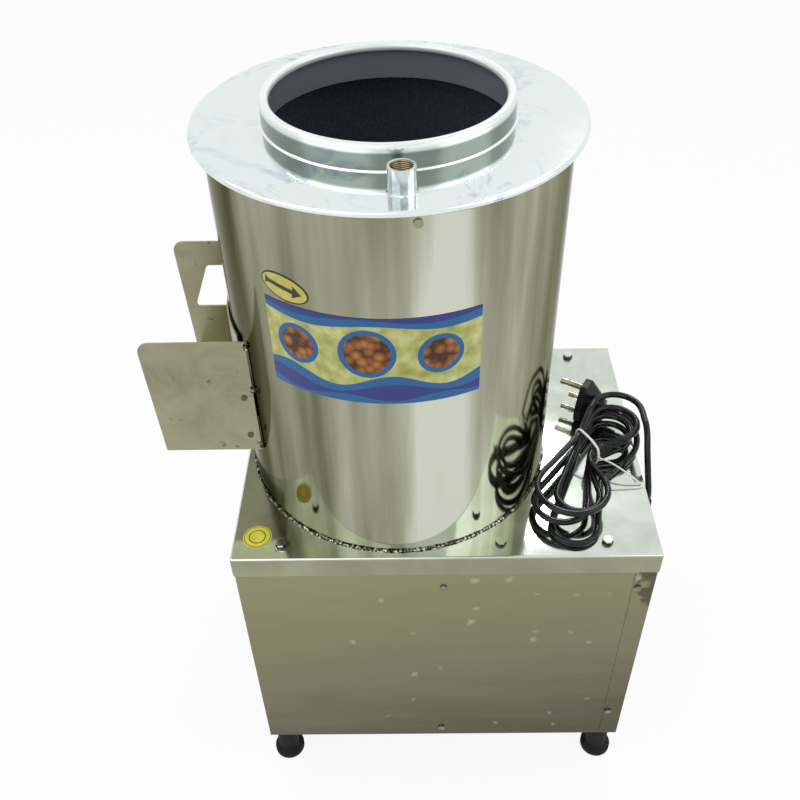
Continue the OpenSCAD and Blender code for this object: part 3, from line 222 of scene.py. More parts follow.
world = bpy.data.worlds.new("studio")
bpy.context.scene.world = world
world.use_nodes = True
tree = world.node_tree
path = add(tree, "ShaderNodeLightPath")
seen = add(tree, "ShaderNodeMath", {0: path.outputs["Is Camera Ray"],
                                    1: path.outputs["Is Transmission Ray"]}, operation="MAXIMUM")
shown = add(tree, "ShaderNodeMath", {0: seen.outputs[0], 1: path.outputs["Is Glossy Ray"]},
            operation="MAXIMUM")
light = add(tree, "ShaderNodeBackground", {"Color": linear("#f3f5f7"), "Strength": 0.7})
white = add(tree, "ShaderNodeBackground", {"Color": (1, 1, 1, 1), "Strength": 1.0})
mixed = add(tree, "ShaderNodeMixShader", {0: shown.outputs[0], 1: light.outputs[0], 2: white.outputs[0]})
tree.links.new(mixed.outputs[0], tree.nodes["World Output"].inputs["Surface"])

for name, power, wide, high, spot, target in (
    ("key_softbox", 26, 3.0, 3.0, (-1.5, -1.4, 2.6), (0, 0, 0.5)),
    ("fill_softbox", 14, 2.1, 2.1, (1.9, -0.6, 2.0), (0, 0, 0.5)),
    ("spark_softbox", 6, 0.35, 0.35, (-1.6, 0.6, 2.4), (0, 0, 0.5)),
    ("strip_softbox", 10, 0.12, 0.8, (0.49, 1.35, 2.1), (0.49, 0, 2.1)),
):
    lamp = bpy.data.lights.new(name, "AREA")
    lamp.energy = power
    lamp.shape = "RECTANGLE"
    lamp.size = wide
    lamp.size_y = high
    softbox = bpy.data.objects.new(name, lamp)
    bpy.context.scene.collection.objects.link(softbox)
    aim = Vector(target) - Vector(spot)
    softbox.matrix_world = Matrix.Translation(spot) @ aim.to_track_quat("-Z", "Y").to_matrix().to_4x4()

# Feet: four moulded rubber buffers, dull black, bolted under the base's corners.
# Rubber is matt, with grey dust on its skin; the gasket, the seal and the belt are of rubber too.


def dress(finish, *names):
    """Gives CAD nodes a finish."""
    for name in names:
        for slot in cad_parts[name].material_slots:
            slot.material = finish


rubber, tree, shader = new_material("black moulded rubber", Roughness=0.78, Specular_IOR_Level=0.25)
coords = add(tree, "ShaderNodeTexCoord").outputs["Object"]
dust = add(tree, "ShaderNodeTexNoise", {"Vector": coords, "Scale": 45.0, "Detail": 6.0, "Roughness": 0.65})
tree.links.new(ramp(tree, dust.outputs["Fac"], [(0.3, "#0d0d0e"), (0.6, "#1a1a1b"), (0.85, "#39393a")]),
               shader.inputs["Base Color"])
grain = add(tree, "ShaderNodeTexNoise", {"Vector": coords, "Scale": 900.0, "Detail": 2.0})
bump = add(tree, "ShaderNodeBump", {"Height": grain.outputs["Fac"], "Strength": 0.25, "Distance": 0.0003})
tree.links.new(bump.outputs["Normal"], shader.inputs["Normal"])
dress(rubber, "rubber_feet", "door_gasket", "shaft_seal", "v_belt")

# Inner frame, bridge and motor plate: rolled steel angle and plate, brushed with grey primer.
# The paint is dull, and thin where the mill scale shows through.
primer, tree, shader = new_material("grey primer on rolled steel", Roughness=0.62)
coords = add(tree, "ShaderNodeTexCoord").outputs["Object"]
cloud = add(tree, "ShaderNodeTexNoise", {"Vector": coords, "Scale": 18.0, "Detail": 7.0, "Roughness": 0.6})
tree.links.new(ramp(tree, cloud.outputs["Fac"], [(0.3, "#43464a"), (0.55, "#585b5f"), (0.8, "#6c6e70")]),
               shader.inputs["Base Color"])
bump = add(tree, "ShaderNodeBump", {"Height": cloud.outputs["Fac"], "Strength": 0.1, "Distance": 0.0005})
tree.links.new(bump.outputs["Normal"], shader.inputs["Normal"])
dress(primer, "corner_posts", "lower_rails", "upper_rails", "support_rails", "bearing_bridge",
      "motor_plate")

# Cabinet and service panel: bent stainless sheet with a dull mill finish, screwed to the frame.
# It is olive-grey and cloudy, painted darker towards the floor and towards the right, a painted shade,
# with ragged pale spots, most of them on the right, and dark stains at the upper right-hand corners.
mill, tree, shader = new_material("mill-finish stainless sheet", Metallic=1.0)
coords = add(tree, "ShaderNodeTexCoord").outputs["Object"]
height = add(tree, "ShaderNodeSeparateXYZ", {"Vector": coords})
# Painted shade: the tone is painted darker towards the floor and towards the right.
low_shade = add(tree, "ShaderNodeMapRange", {"Value": height.outputs["Z"], 1: 0.05, 2: 0.42})
stretch = add(tree, "ShaderNodeMapping", {"Vector": coords, "Scale": (5.0, 5.0, 20.0)})
cloud = add(tree, "ShaderNodeTexNoise", {"Vector": stretch.outputs[0], "Scale": 1.0, "Detail": 7.0,
                                         "Roughness": 0.62})
left = add(tree, "ShaderNodeMapRange", {"Value": height.outputs["X"], 1: -0.2, 2: 0.27, 3: 0.06, 4: -0.12})
tone = add(tree, "ShaderNodeMath", {0: low_shade.outputs[0], 1: 0.78, 2: left.outputs[0]},
           operation="MULTIPLY_ADD")
tone = add(tree, "ShaderNodeMath", {0: cloud.outputs["Fac"], 1: 0.45, 2: tone.outputs[0]},
           operation="MULTIPLY_ADD")
sheet_colour = ramp(tree, tone.outputs[0], [
    (0.15, "#4e4d39"), (0.35, "#65634c"), (0.55, "#7a775f"), (0.8, "#878365"), (1.05, "#928e70"),
])
around = add(tree, "ShaderNodeMath", {0: height.outputs["X"], 1: height.outputs["Y"]})
wall = add(tree, "ShaderNodeCombineXYZ", {"X": around.outputs[0], "Y": height.outputs["Z"]})
wobble = add(tree, "ShaderNodeTexNoise", {"Vector": coords, "Scale": 110.0, "Detail": 3.0})
ragged = add(tree, "ShaderNodeVectorMath", {0: wobble.outputs["Color"], 1: (0.012, 0.012, 0.0),
                                            2: wall.outputs[0]}, operation="MULTIPLY_ADD")
spots = add(tree, "ShaderNodeTexVoronoi", {"Vector": ragged.outputs[0], "Scale": 27.0},
            voronoi_dimensions="2D")
pick = add(tree, "ShaderNodeSeparateColor", {"Color": spots.outputs["Color"]})
reach = add(tree, "ShaderNodeMath", {0: pick.outputs[1], 1: -0.1, 2: spots.outputs["Distance"]},
            operation="MULTIPLY_ADD")
spot = add(tree, "ShaderNodeMapRange", {"Value": reach.outputs[0], 1: -0.02, 2: 0.08, 3: 0.34, 4: 0.0})
limit = add(tree, "ShaderNodeMapRange", {"Value": around.outputs[0], 1: -0.3, 2: 0.0, 3: 1.0, 4: 0.58})
few = add(tree, "ShaderNodeMath", {0: pick.outputs[0], 1: limit.outputs[0]}, operation="GREATER_THAN")
mark = add(tree, "ShaderNodeMath", {0: spot.outputs[0], 1: few.outputs[0]}, operation="MULTIPLY")
spotted = add(tree, "ShaderNodeMix", {"Factor": mark.outputs[0], "A": sheet_colour, "B": linear("#cfcab0")},
              data_type="RGBA")
edge = add(tree, "ShaderNodeMapRange", {"Value": height.outputs["X"], 1: 0.225, 2: 0.262})
upper = add(tree, "ShaderNodeMapRange", {"Value": height.outputs["Z"], 1: 0.27, 2: 0.4})
corner = add(tree, "ShaderNodeMath", {0: edge.outputs[0], 1: upper.outputs[0]}, operation="MULTIPLY")
blot = add(tree, "ShaderNodeTexNoise", {"Vector": coords, "Scale": 42.0, "Detail": 4.0, "Distortion": 0.4})
stain = add(tree, "ShaderNodeMath", {0: blot.outputs["Fac"], 1: corner.outputs[0]}, operation="MULTIPLY")
stain = add(tree, "ShaderNodeMapRange", {"Value": stain.outputs[0], 1: 0.3, 2: 0.36, 4: 0.75})
spotted = add(tree, "ShaderNodeMix", {"Factor": stain.outputs[0], "A": spotted.outputs["Result"],
                                      "B": linear("#3c3f33")}, data_type="RGBA")
tree.links.new(spotted.outputs["Result"], shader.inputs["Base Color"])
rough = add(tree, "ShaderNodeMapRange", {"Value": cloud.outputs["Fac"], 1: 0.3, 2: 0.75, 3: 0.2, 4: 0.38})
tree.links.new(rough.outputs[0], shader.inputs["Roughness"])
dress(mill, "base_cabinet", "service_panel")

# Fasteners: zinc-plated foot bolts, panel screws, bearing bolts and the bolts that hang the motor plate.
# The plating is smooth and has dulled to a cloudy grey.


def clouded(name, scale, detail, stops, **values):
    """A finish whose colour wanders with a noise; gives its material, tree, shader and the noise."""
    m, tree, shader = new_material(name, **values)
    coords = add(tree, "ShaderNodeTexCoord").outputs["Object"]
    noise = add(tree, "ShaderNodeTexNoise", {"Vector": coords, "Scale": scale, "Detail": detail})
    tree.links.new(ramp(tree, noise.outputs["Fac"], stops), shader.inputs["Base Color"])
    return m, tree, shader, noise.outputs["Fac"]


zinc = clouded("dulled zinc plate", 160.0, 4.0, [(0.3, "#6b6a5c"), (0.6, "#8d8b7b"), (0.8, "#b3b1a3")],
               Metallic=1.0, Roughness=0.16)[0]
dress(zinc, "foot_bolts", "panel_screws", "bearing_bolts", "motor_hangers")

# Cover bolts: hexagon bolts on washers, of zinc-plated steel, that hold the cover to the rails.
# The plating is bright, and is painted dark towards the bolts' foot, a painted shade in the corner.
plated, tree, shader = new_material("bright zinc plate with painted shade at its foot", Metallic=1.0, Roughness=0.14)
coords = add(tree, "ShaderNodeTexCoord").outputs["Object"]
height = add(tree, "ShaderNodeSeparateXYZ", {"Vector": coords})
cloud = add(tree, "ShaderNodeTexNoise", {"Vector": coords, "Scale": 260.0, "Detail": 3.0})
# Painted shade: the colour darkens over the lowest 5 mm, towards the washers.
foot_shade = add(tree, "ShaderNodeMapRange", {"Value": height.outputs["Z"], 1: (COVER_Z + 0.4) / 1000,
                                        2: (COVER_Z + 5.4) / 1000, 3: 0.0, 4: 0.8})
tone = add(tree, "ShaderNodeMath", {0: cloud.outputs["Fac"], 1: 0.3, 2: foot_shade.outputs[0]},
           operation="MULTIPLY_ADD")
tree.links.new(ramp(tree, tone.outputs[0], [(0.2, "#3f413c"), (0.5, "#7f847c"), (0.9, "#cdd3cb")]),
               shader.inputs["Base Color"])
dress(plated, "cover_washers", "cover_bolts")

# Base cover: a tray of polished stainless sheet with rounded folds, bolted through to the rails.
# It is nearly a mirror, with a soft haze and wipe marks; its skirt is painted a darker olive-grey
# than its top, a painted shade.
COVER_X = (-184.0, 288.0)
COVER_Y = (-186.0, 180.0)
SKIRT = 28.0
FOLD = 2.6
FLAT_EDGE = 0.5
SHEET = 1.5


def finish_piece(obj, name, slot, *nodes, body="machine"):
    """Names a finished piece and lets it ride and stand for CAD nodes; slot is not used."""
    obj.name = name
    bpy.ops.object.select_all(action="DESELECT")
    obj.select_set(True)
    bpy.context.view_layer.objects.active = obj
    bpy.ops.object.transform_apply(location=True, rotation=True, scale=True)
    if nodes:
        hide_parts(*nodes)
    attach(obj, body)
    return obj


def pick_edges(test):
    """In edit mode, selects the edges whose two ends pass a test."""
    mesh = bpy.context.object.data
    bpy.ops.mesh.select_mode(type="EDGE")
    bpy.ops.mesh.select_all(action="DESELECT")
    bpy.ops.object.mode_set(mode="OBJECT")
    for edge in mesh.edges:
        edge.select = test(*[mesh.vertices[v].co for v in edge.vertices])
    bpy.ops.object.mode_set(mode="EDIT")


def pick_faces(test):
    """In edit mode, selects the faces whose middle passes a test."""
    mesh = bpy.context.object.data
    bpy.ops.mesh.select_mode(type="FACE")
    bpy.ops.mesh.select_all(action="DESELECT")
    bpy.ops.object.mode_set(mode="OBJECT")
    for face in mesh.polygons:
        face.select = test(face.center)
    bpy.ops.object.mode_set(mode="EDIT")


middle = place(sum(COVER_X) / 2, sum(COVER_Y) / 2, -SKIRT / 2)


def on_side(c):
    """Whether c is the middle of one of the tray's four flat sides."""
    off_line = min(abs(c.x - middle.x), abs(c.y - middle.y))
    return max(abs(c.z - middle.z), off_line) < FOLD / 1000


bpy.ops.object.select_all(action="DESELECT")
bpy.ops.mesh.primitive_cube_add(size=1, location=middle)
cover = bpy.context.object
cover.scale = ((COVER_X[1] - COVER_X[0]) / 1000, (COVER_Y[1] - COVER_Y[0]) / 1000, SKIRT / 1000)
bpy.ops.object.transform_apply(location=True, rotation=True, scale=True)
bpy.ops.object.mode_set(mode="EDIT")
pick_faces(lambda c: c.z < middle.z - 0.01)
bpy.ops.mesh.delete(type="FACE")
pick_edges(lambda a, b: a.z > middle.z or b.z > middle.z)
bpy.ops.mesh.bevel(offset=FOLD / 1000, segments=4, affect="EDGES")
pick_faces(lambda c: c.z > (COVER_Z - 0.1) / 1000)
bpy.ops.mesh.inset(thickness=FLAT_EDGE / 1000)
pick_faces(on_side)
bpy.ops.mesh.inset(thickness=FLAT_EDGE / 1000, use_boundary=True)
bpy.ops.object.mode_set(mode="OBJECT")
sheet = cover.modifiers.new("sheet", "SOLIDIFY")
sheet.thickness = SHEET / 1000
sheet.offset = -1
bpy.ops.object.modifier_apply(modifier="sheet")
bpy.ops.object.shade_smooth_by_angle(angle=math.radians(30))

polish, tree, shader = new_material("mirror-polished stainless cover", Metallic=1.0)
coords = add(tree, "ShaderNodeTexCoord").outputs["Object"]
cloud = add(tree, "ShaderNodeTexNoise", {"Vector": coords, "Scale": 9.0, "Detail": 6.0, "Roughness": 0.62,
                                         "Distortion": 0.6})
height = add(tree, "ShaderNodeSeparateXYZ", {"Vector": coords})
top_colour = ramp(tree, cloud.outputs["Fac"], [(0.28, "#bfc7bb"), (0.5, "#d1d9cf"), (0.72, "#e2e9e1")])
# Painted shade: the skirt, below the top's fold, is painted a darker olive-grey than the top.
skirt = add(tree, "ShaderNodeMapRange", {"Value": height.outputs["Z"], 1: (COVER_Z - 2.2) / 1000,
                                         2: (COVER_Z - 0.6) / 1000})
skirt_shade_colour = ramp(tree, cloud.outputs["Fac"], [(0.3, "#8b8b74"), (0.7, "#a3a48b")])
both = add(tree, "ShaderNodeMix", {"Factor": skirt.outputs[0], "A": skirt_shade_colour, "B": top_colour},
           data_type="RGBA")
tree.links.new(both.outputs["Result"], shader.inputs["Base Color"])
rough = add(tree, "ShaderNodeMapRange", {"Value": cloud.outputs["Fac"], 1: 0.35, 2: 0.75, 3: 0.05, 4: 0.17})
tree.links.new(rough.outputs[0], shader.inputs["Roughness"])
cover.data.materials.append(polish)
finish_piece(cover, "base_cover_tray", "stainless_sheet", "top_cover")

# Drum: polished stainless sheet rolled to a tube, with the olive-grey cast of the machine's other sheets.
# Its polish is uneven: soft upright streaks from a stretched noise, and fine lines. Its highlights and
# the images in it come from the lamps, the surround and the pieces beside it.
mirror, tree, shader = new_material("polished rolled stainless", Metallic=1.0,
                                    Specular_Tint=linear("#b4b4aa"))
coords = add(tree, "ShaderNodeTexCoord").outputs["Object"]
streak_in = add(tree, "ShaderNodeMapping", {"Vector": coords, "Scale": (16.0, 16.0, 1.2)})
streak = add(tree, "ShaderNodeTexNoise", {"Vector": streak_in.outputs[0], "Scale": 1.0, "Detail": 4.0})
streaks = ramp(tree, streak.outputs["Fac"], [
    (0.34, "#5d5e50"), (0.44, "#898973"), (0.54, "#a3a48f"), (0.66, "#cdd0c0"),
])
rough = add(tree, "ShaderNodeMapRange", {"Value": streak.outputs["Fac"], 1: 0.3, 2: 0.7, 3: 0.12, 4: 0.06})
tree.links.new(rough.outputs[0], shader.inputs["Roughness"])
fine_in = add(tree, "ShaderNodeMapping", {"Vector": coords, "Scale": (260.0, 260.0, 2.0)})
fine = add(tree, "ShaderNodeTexNoise", {"Vector": fine_in.outputs[0], "Scale": 1.0, "Detail": 3.0})
line = add(tree, "ShaderNodeMapRange", {"Value": fine.outputs["Fac"], 1: 0.3, 2: 0.7, 3: 0.985, 4: 1.015})
toned = add(tree, "ShaderNodeVectorMath", {0: streaks, "Scale": line.outputs[0]}, operation="SCALE")
tree.links.new(toned.outputs[0], shader.inputs["Base Color"])
dress(mirror, "drum_shell")

# Weld round the drum's foot: an arc-welded bead laid by hand that joins the drum to the cover.
# It is uneven; its colour is a fine noise of dark patches, partly scale and partly painted shade,
# and near-white spots that are painted glints.
BEAD_R = 1.9
BEAD_OUT = 0.6
BEAD_UP = 0.5
bpy.ops.object.select_all(action="DESELECT")
bpy.ops.mesh.primitive_torus_add(location=place(0, 0, BEAD_UP), major_radius=(DRUM_R + BEAD_OUT) / 1000,
                                 minor_radius=BEAD_R / 1000, major_segments=900, minor_segments=14)
bead = bpy.context.object
lumps = bpy.data.textures.new("bead lumps", "STUCCI")
lumps.noise_scale = 0.0028
push = bead.modifiers.new("lumps", "DISPLACE")
push.texture = lumps
push.strength = 0.0017
push.mid_level = 0.55
bpy.ops.object.modifier_apply(modifier="lumps")
bpy.ops.object.shade_smooth()
weld, tree, shader = new_material("scaly arc-weld metal with painted shade and glints", Metallic=1.0)
coords = add(tree, "ShaderNodeTexCoord").outputs["Object"]
scale_shade_and_glints = add(tree, "ShaderNodeTexNoise", {"Vector": coords, "Scale": 330.0, "Detail": 3.0, "Roughness": 0.6})
# Painted shade and glints: the darkest patches stand partly for scale and partly for shade, the near-white
# spots for glints.
tree.links.new(ramp(tree, scale_shade_and_glints.outputs["Fac"], [(0.4, "#232019"), (0.52, "#59574c"), (0.6, "#b9b8ae"),
                                                 (0.68, "#ecece6")]), shader.inputs["Base Color"])
rough = add(tree, "ShaderNodeMapRange", {"Value": scale_shade_and_glints.outputs["Fac"], 1: 0.4, 2: 0.65, 3: 0.6, 4: 0.22})
tree.links.new(rough.outputs[0], shader.inputs["Roughness"])
bead.data.materials.append(weld)
finish_piece(bead, "drum_weld_bead", "weld_metal", "drum_weld")
dress(weld, "cheek_welds")

# Abrasive lining and disc: coarse carborundum grit bonded in black resin.
# It is dark and rough, with grey-blue grains of about 2 mm, each painted lighter at its middle, a painted
# highlight.
grit, tree, shader = new_material("black carborundum grit in resin", Roughness=0.7)
coords = add(tree, "ShaderNodeTexCoord").outputs["Object"]
grains = add(tree, "ShaderNodeTexVoronoi", {"Vector": coords, "Scale": 480.0})
# Painted highlight: each grain is painted lighter towards its middle.
tree.links.new(ramp(tree, grains.outputs["Distance"], [(0.0, "#636e7c"), (0.6, "#414954")]),
               shader.inputs["Base Color"])
bump = add(tree, "ShaderNodeBump", {"Height": grains.outputs["Distance"], "Strength": 0.4,
                                    "Distance": 0.0008})
tree.links.new(bump.outputs["Normal"], shader.inputs["Normal"])
dress(grit, "drum_lining", "peeling_disc")

# Top ring: bright stainless sheet with a rolled edge, screwed to the drum by its spigot.
# It is pale and smooth, with bluish smears in patches.
bright, tree, shader = new_material("bright annealed stainless ring", Metallic=1.0)
coords = add(tree, "ShaderNodeTexCoord").outputs["Object"]
cloud = add(tree, "ShaderNodeTexNoise", {"Vector": coords, "Scale": 16.0, "Detail": 8.0, "Roughness": 0.7,
                                         "Distortion": 1.6})
area = add(tree, "ShaderNodeTexNoise", {"Vector": coords, "Scale": 4.0, "Detail": 1.0})
patch = add(tree, "ShaderNodeMapRange", {"Value": area.outputs["Fac"], 1: 0.48, 2: 0.62})
smear = add(tree, "ShaderNodeMapRange", {"Value": cloud.outputs["Fac"], 1: 0.5, 2: 0.66})
smeared = add(tree, "ShaderNodeMath", {0: smear.outputs[0], 1: patch.outputs[0]}, operation="MULTIPLY")
tint = add(tree, "ShaderNodeMix", {"Factor": smeared.outputs[0], "A": linear("#e3ecea"),
                                   "B": linear("#8fa6bb")}, data_type="RGBA")
tree.links.new(tint.outputs["Result"], shader.inputs["Base Color"])
rough = add(tree, "ShaderNodeMapRange", {"Value": cloud.outputs["Fac"], 1: 0.3, 2: 0.7, 3: 0.07, 4: 0.11})
tree.links.new(rough.outputs[0], shader.inputs["Roughness"])
dress(bright, "top_ring")

# Feed collar: a rolled stainless band with a wired rim, welded to the ring.
# It is brushed round its length, grey on its wall, dull inside and bright on the seam,
# and its rolled rim is painted near-white, a painted highlight.
INNER_R = 117.8
SEAM_R = 118.7
RIM_Z = (438.5, 441)
brushed, tree, shader = new_material("brushed stainless band", Metallic=1.0, Roughness=0.22)
coords = add(tree, "ShaderNodeTexCoord").outputs["Object"]
centre = add(tree, "ShaderNodeVectorMath", {0: coords, 1: (-DRUM_X / 1000, -DRUM_Y / 1000, 0)})
flat = add(tree, "ShaderNodeVectorMath", {0: centre.outputs[0], 1: (1, 1, 0)}, operation="MULTIPLY")
out = add(tree, "ShaderNodeVectorMath", {0: flat.outputs[0]}, operation="LENGTH").outputs["Value"]
height = add(tree, "ShaderNodeSeparateXYZ", {"Vector": coords})
inner = add(tree, "ShaderNodeMath", {0: out, 1: INNER_R / 1000}, operation="LESS_THAN")
walls = add(tree, "ShaderNodeMix", {"Factor": inner.outputs[0], "A": linear("#848c85"),
                                    "B": linear("#7d868b")}, data_type="RGBA")
film = add(tree, "ShaderNodeMath", {0: inner.outputs[0], 1: -0.75, 2: 1.0}, operation="MULTIPLY_ADD")
tree.links.new(film.outputs[0], shader.inputs["Metallic"])
# Painted highlight: the rim's band is painted near-white; the seam shares that white.
rim = add(tree, "ShaderNodeMapRange", {"Value": height.outputs["Z"], 1: (COVER_Z + RIM_Z[0]) / 1000,
                                       2: (COVER_Z + RIM_Z[1]) / 1000})
seam = add(tree, "ShaderNodeMath", {0: out, 1: SEAM_R / 1000}, operation="GREATER_THAN")
edges = add(tree, "ShaderNodeMath", {0: rim.outputs[0], 1: seam.outputs[0]}, operation="MAXIMUM")
rim_highlight_and_seam = add(tree, "ShaderNodeMix", {"Factor": edges.outputs[0], "A": walls.outputs["Result"],
                                     "B": linear("#e8eeeb")}, data_type="RGBA")
lines_in = add(tree, "ShaderNodeMapping", {"Vector": coords, "Scale": (12.0, 12.0, 1400.0)})
lines = add(tree, "ShaderNodeTexNoise", {"Vector": lines_in.outputs[0], "Scale": 1.0, "Detail": 3.0})
line = add(tree, "ShaderNodeMapRange", {"Value": lines.outputs["Fac"], 1: 0.3, 2: 0.7, 3: 0.93, 4: 1.05})
toned = add(tree, "ShaderNodeVectorMath", {0: rim_highlight_and_seam.outputs["Result"], "Scale": line.outputs[0]},
            operation="SCALE")
tree.links.new(toned.outputs[0], shader.inputs["Base Color"])
bump = add(tree, "ShaderNodeBump", {"Height": lines.outputs["Fac"], "Strength": 0.06, "Distance": 0.0002})
tree.links.new(bump.outputs["Normal"], shader.inputs["Normal"])
dress(brushed, "feed_collar")

# Water socket: a half-inch steel pipe socket that stands upright on the ring, chromed outside.
# Its plate is bright and a little cloudy, and brown sealing paste is left in its thread.
SOCKET_X = 13
SOCKET_Y = -150
THREAD_R = 9.8
chrome, tree, shader = new_material("chromed pipe socket", Metallic=1.0, Roughness=0.14)
coords = add(tree, "ShaderNodeTexCoord").outputs["Object"]
bore = add(tree, "ShaderNodeVectorMath", {0: coords, 1: tuple(-place(SOCKET_X, SOCKET_Y, 0).xy) + (0,)})
bore = add(tree, "ShaderNodeVectorMath", {0: bore.outputs[0], 1: (1, 1, 0)}, operation="MULTIPLY")
bore = add(tree, "ShaderNodeVectorMath", {0: bore.outputs[0]}, operation="LENGTH")
inside = add(tree, "ShaderNodeMath", {0: bore.outputs["Value"], 1: THREAD_R / 1000}, operation="LESS_THAN")
thread = add(tree, "ShaderNodeTexWave", {"Vector": coords, "Scale": 174.0}, bands_direction="Z")
paste = ramp(tree, thread.outputs["Fac"], [(0.2, "#5b4a2f"), (0.7, "#b9ab8a")])
shade = add(tree, "ShaderNodeTexNoise", {"Vector": coords, "Scale": 60.0, "Detail": 3.0})
plate = ramp(tree, shade.outputs["Fac"], [(0.3, "#9fa9a9"), (0.6, "#d0d8d6")])
skin = add(tree, "ShaderNodeMix", {"Factor": inside.outputs[0], "A": plate, "B": paste}, data_type="RGBA")
tree.links.new(skin.outputs["Result"], shader.inputs["Base Color"])
cut = add(tree, "ShaderNodeMath", {0: thread.outputs["Fac"], 1: inside.outputs[0]}, operation="MULTIPLY")
bump = add(tree, "ShaderNodeBump", {"Height": cut.outputs[0], "Strength": 0.8, "Distance": 0.0008})
tree.links.new(bump.outputs["Normal"], shader.inputs["Normal"])
dress(chrome, "water_socket")

# Turned and drawn steel: shafts, pins, bearings, the disc's nut and the drain spout.
# It is bright and bare, with fine turning lines.
turned, tree, shader = new_material("turned bright steel", Metallic=1.0, Roughness=0.24)
coords = add(tree, "ShaderNodeTexCoord").outputs["Object"]
lines_in = add(tree, "ShaderNodeMapping", {"Vector": coords, "Scale": (40.0, 40.0, 1500.0)})
lines = add(tree, "ShaderNodeTexNoise", {"Vector": lines_in.outputs[0], "Scale": 1.0, "Detail": 3.0})
tree.links.new(ramp(tree, lines.outputs["Fac"], [(0.3, "#a1a29a"), (0.55, "#b9bab3"), (0.75, "#cfd0ca")]),
               shader.inputs["Base Color"])
dress(turned, "drain_spout", "latch_pivot", "hinge_pin", "main_shaft", "disc_nut", "motor_shaft",
      "shaft_bearings")

# Chute cheeks, floor, door, hinge and latch: sheared stainless sheet with a satin finish.
# It is cloudy, with a few dark specks; the ring's and the door's small fasteners share the finish.
satin, tree, shader = new_material("satin stainless sheet", Metallic=1.0)
coords = add(tree, "ShaderNodeTexCoord").outputs["Object"]
cloud = add(tree, "ShaderNodeTexNoise", {"Vector": coords, "Scale": 15.0, "Detail": 6.0, "Roughness": 0.6,
                                         "Distortion": 0.8})
plain = ramp(tree, cloud.outputs["Fac"], [(0.25, "#85836a"), (0.45, "#99977c"), (0.7, "#a6a389")])
specks = add(tree, "ShaderNodeTexNoise", {"Vector": coords, "Scale": 75.0, "Detail": 3.0})
dirt = add(tree, "ShaderNodeMapRange", {"Value": specks.outputs["Fac"], 1: 0.66, 2: 0.72, 3: 0.0, 4: 0.6})
specked = add(tree, "ShaderNodeMix", {"Factor": dirt.outputs[0], "A": plain, "B": linear("#4c4a3c")},
              data_type="RGBA")
tree.links.new(specked.outputs["Result"], shader.inputs["Base Color"])
rough = add(tree, "ShaderNodeMapRange", {"Value": cloud.outputs["Fac"], 1: 0.3, 2: 0.75, 3: 0.26, 4: 0.44})
tree.links.new(rough.outputs[0], shader.inputs["Roughness"])
dress(satin, "chute_cheek_front", "chute_cheek_rear", "chute_floor", "outlet_door", "hinge_cheek_leaf",
      "hinge_door_leaf", "door_rivets", "ring_screws", "latch_lever")

# Hinge rivets: aluminium rivets that hold the hinge's fixed leaf to the front cheek.
# They are set by hand, and their dark grey is a painted shade.
# Painted shade: the rivets are painted dark grey.
shaded_rivet = clouded("aluminium rivet in painted shade", 500.0, 3.0,
                    [(0.3, "#4a493c"), (0.55, "#66644f"), (0.8, "#8a886f")], Metallic=1.0, Roughness=0.4)[0]
dress(shaded_rivet, "hinge_rivets")

# Label: a printed vinyl band stuck round the drum's front, with a generic pattern.
# Blue waves run along a yellow-green field with brown spotted rounds; the vinyl is glossy.
LABEL_FROM = -40.6
LABEL_TO = 28.2
LABEL_LOW = 215.0
LABEL_HIGH = 313.0
bpy.ops.object.select_all(action="DESELECT")
bpy.ops.mesh.primitive_cylinder_add(
    vertices=720, radius=(DRUM_R + 0.2) / 1000, depth=(LABEL_HIGH - LABEL_LOW) / 1000,
    end_fill_type="NOTHING", location=place(0, 0, (LABEL_LOW + LABEL_HIGH) / 2),
)
label = bpy.context.object
bpy.ops.object.transform_apply(location=True, rotation=True, scale=True)
axis = place(0, 0, 0)


def from_front(c):
    """The angle of a point round the drum's axis, in degrees from the front."""
    return math.degrees(math.atan2(c.x - axis.x, axis.y - c.y))


bpy.ops.object.mode_set(mode="EDIT")
pick_faces(lambda c: not LABEL_FROM < from_front(c) < LABEL_TO)
bpy.ops.mesh.delete(type="FACE")
bpy.ops.object.mode_set(mode="OBJECT")
bpy.ops.object.shade_smooth()
LABEL_W = math.radians(LABEL_TO - LABEL_FROM) * DRUM_R
layer = label.data.uv_layers.new(name="print")
for loop in label.data.loops:
    c = label.data.vertices[loop.vertex_index].co
    across = (from_front(c) - LABEL_FROM) / (LABEL_TO - LABEL_FROM) * LABEL_W
    layer.data[loop.index].uv = (across / 100, (c.z - axis.z) * 10 - LABEL_LOW / 100)

vinyl, tree, shader = new_material("glossy printed vinyl", Roughness=0.22, Specular_IOR_Level=0.25)
at = add(tree, "ShaderNodeUVMap", uv_map="print").outputs["UV"]
spot = add(tree, "ShaderNodeSeparateXYZ", {"Vector": at})


def wave(tree, base, size, length, shift):
    """A level line at base with a swell, in units of 100 mm."""
    turn = add(tree, "ShaderNodeMath", {0: spot.outputs["X"], 1: math.tau / length, 2: shift},
               operation="MULTIPLY_ADD")
    swell = add(tree, "ShaderNodeMath", {0: turn.outputs[0]}, operation="SINE")
    line = add(tree, "ShaderNodeMath", {0: swell.outputs[0], 1: size, 2: base}, operation="MULTIPLY_ADD")
    return line.outputs[0]


def over(tree, mask, under, colour):
    """Prints a colour over another where a mask is 1."""
    if not isinstance(colour, bpy.types.NodeSocket):
        colour = linear(colour)
    mixed = add(tree, "ShaderNodeMix", {"Factor": mask, "A": under, "B": colour}, data_type="RGBA")
    return mixed.outputs["Result"]


